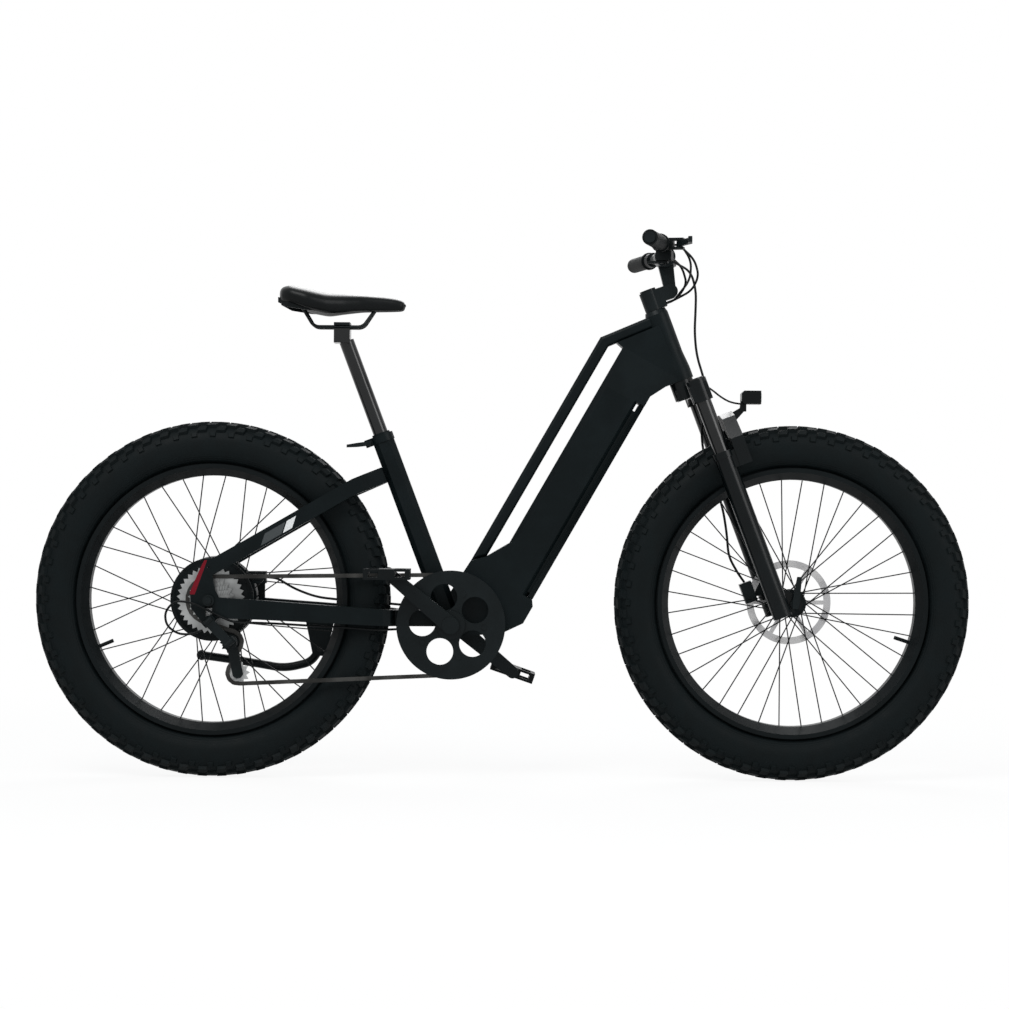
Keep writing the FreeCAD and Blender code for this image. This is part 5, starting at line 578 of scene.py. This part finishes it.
def buildScreen():
    low, high = (np.array(corner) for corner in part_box("display"))
    u, v, wide, long = roundedGrid(*screen["grid"], screen["corners"])
    middle, half = (low + high) / 2, (high - low) / 2
    x = middle[0] + half[0] * screen["wide"] * wide
    y = middle[1] + half[1] * screen["long"] * long
    z = high[2] + screen["lift"] + screen["crown"] * (1 - u ** 2) * (1 - v ** 2)
    piece = newPiece("displayScreen", np.stack([x, y, z], axis=-1), gridFaces(*u.shape, False, False),
                     glassFinish("screenGlass", screen["colour"], screen["glow"]))
    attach(piece, "steering")


buildScreen()
print("lens and screen built")

# headlight wire: leaves the fork crown's face in a slack bow and ends behind the lamp, just over its hinge,
# where the lamp's tilt hardly moves it
lampWire = {"points": [(0.4262, 0.0, 0.8390), (0.4400, 0.0, 0.8310), (0.4620, 0.0, 0.8130),
                       (0.4850, 0.0, 0.8010), (0.5045, 0.0, 0.7996)],
            "order": 3, "steps": 16, "radius": 0.002, "round": 14}


# points along the smooth spline that a route's points pull into shape
def splinePoints(route, order, steps):
    curve = bpy.data.curves.new("route", "CURVE")
    curve.dimensions = "3D"
    curve.resolution_u = steps
    spline = curve.splines.new("NURBS")
    spline.points.add(len(route) - 1)
    spline.points.foreach_set("co", np.array([(*point, 1.0) for point in route]).ravel())
    spline.order_u = order
    spline.use_endpoint_u = True
    carrier = bpy.data.objects.new("route", curve)
    mesh = bpy.data.meshes.new_from_object(carrier)
    line = np.empty(len(mesh.vertices) * 3)
    mesh.vertices.foreach_get("co", line)
    bpy.data.objects.remove(carrier)
    bpy.data.curves.remove(curve)
    bpy.data.meshes.remove(mesh)
    return line.reshape(-1, 3)


# a circle carried along the spline, square to its way
def buildLampWire():
    line = splinePoints(lampWire["points"], lampWire["order"], lampWire["steps"])
    way = np.gradient(line, axis=0)
    way = way / np.linalg.norm(way, axis=1)[:, None]
    side = np.broadcast_to([0.0, 1.0, 0.0], way.shape)  # the route stays in the bike's middle plane
    lift = np.cross(way, side)
    around = np.linspace(0, 2 * np.pi, lampWire["round"], endpoint=False)[None, :, None]
    ring = np.cos(around) * side[:, None] + np.sin(around) * lift[:, None]
    points = line[:, None] + lampWire["radius"] * ring
    faces = gridFaces(len(line), lampWire["round"], False, True)
    piece = newPiece("headlightWire", points, faces, materials["cableJacket"])
    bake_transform(piece)


buildLampWire()


# 1 for rays that look at a surface, straight, mirrored or through glass, and 0 for those that light it
def lookingRays(start):
    rays = [start.node("ShaderNodeLightPath", {}, {}, f"Is {kind} Ray")
            for kind in ("Camera", "Glossy", "Transmission")]
    return rays[0] + rays[1] + rays[2]


# stage: a pale floor that keeps a soft shadow near the object and fades to plain white further off;
# its share of plain white, and where that starts to grow and is whole, in metres from the origin
stage = {"low": (-12.0, -9.0), "high": (12.0, 14.0), "tone": (0.86, 0.86, 0.86), "colour": (0.88, 0.88, 0.88),
         "cloud": (40.0, 3.0, 0.2, 0.8), "rough": 0.9, "shine": 0.1, "share": 0.90, "white": 1.0,
         "fadeFrom": 1.3, "fadeTo": 3.0}


def buildStage():
    (left, near), (right, far) = stage["low"], stage["high"]
    points = np.array([[left, near, 0.0], [right, near, 0.0], [right, far, 0.0], [left, far, 0.0]])
    material, place = newMaterial("paleFloor")
    matt = principled(place, colour=toned(cloudy(place, stage), stage), rough=stage["rough"],
                      shine=stage["shine"])
    lit = place.node("ShaderNodeEmission", {}, {"Strength": stage["white"]})
    faded = lengthOf(place).fade(stage["fadeFrom"], stage["fadeTo"])
    share = lookingRays(place) * (stage["share"] + (1 - stage["share"]) * faded)
    show(place.node("ShaderNodeMixShader", {}, {0: share, 1: matt, 2: lit}))
    floor = newPiece("floor", points, np.array([[0, 1, 2, 3]]), material, False)


buildStage()

# light: colour and power of the room and of the backdrop; each lamp's place, aim, size and power
studio = {"room": ((0.80, 0.88, 0.94), 0.30), "backdrop": ((1.0, 1.0, 1.0), 1.0),
          "lamps": {"keyLamp": ((-1.5, -3.2, 4.2), (0, 0, 0.5), 2.6, 190.0),
                    "frontLamp": ((3.4, -2.6, 2.2), (0.2, 0, 0.6), 2.0, 70.0),
                    "backLamp": ((0.4, 3.4, 3.4), (0, 0, 0.6), 2.6, 110.0)}}


def placed(name, data, place, turn):
    thing = bpy.data.objects.new(name, data)
    bpy.context.scene.collection.objects.link(thing)
    thing.matrix_world = Matrix.Translation(place) @ turn
    return thing


def buildLight():
    world = bpy.data.worlds.new("studio")
    bpy.context.scene.world = world
    world.use_nodes = True
    world.node_tree.nodes.clear()
    start = Wire(world.node_tree)
    room, backdrop = (start.node("ShaderNodeBackground", {}, {"Color": rgba(colour), "Strength": power})
                      for colour, power in (studio["room"], studio["backdrop"]))
    blend = start.node("ShaderNodeMixShader", {}, {0: lookingRays(start), 1: room, 2: backdrop})
    start.node("ShaderNodeOutputWorld", {}, {"Surface": blend})
    for name, (place, aim, size, power) in studio["lamps"].items():
        lamp = bpy.data.lights.new(name, "AREA")
        lamp.size = size
        lamp.energy = power
        turn = (Vector(aim) - Vector(place)).to_track_quat("-Z", "Y")
        placed(name, lamp, place, turn.to_matrix().to_4x4())


buildLight()

# camera: square on to the drive side, far off, with the slight roll of the picture in degrees
camera = {"lens": 100.7, "sensor": 36.0, "reach": 60.0, "place": (0.003, -6.0, 0.582), "roll": 0.436}


def buildCamera():
    optics = bpy.data.cameras.new("camera")
    optics.lens = camera["lens"]
    optics.sensor_width = camera["sensor"]
    optics.clip_end = camera["reach"]
    turn = Matrix.Rotation(math.pi / 2, 4, "X") @ Matrix.Rotation(math.radians(camera["roll"]), 4, "Z")
    bpy.context.scene.camera = placed("camera", optics, camera["place"], turn)


buildCamera()
bpy.context.scene.view_settings.view_transform = "Standard"
print("stage, light and camera set")
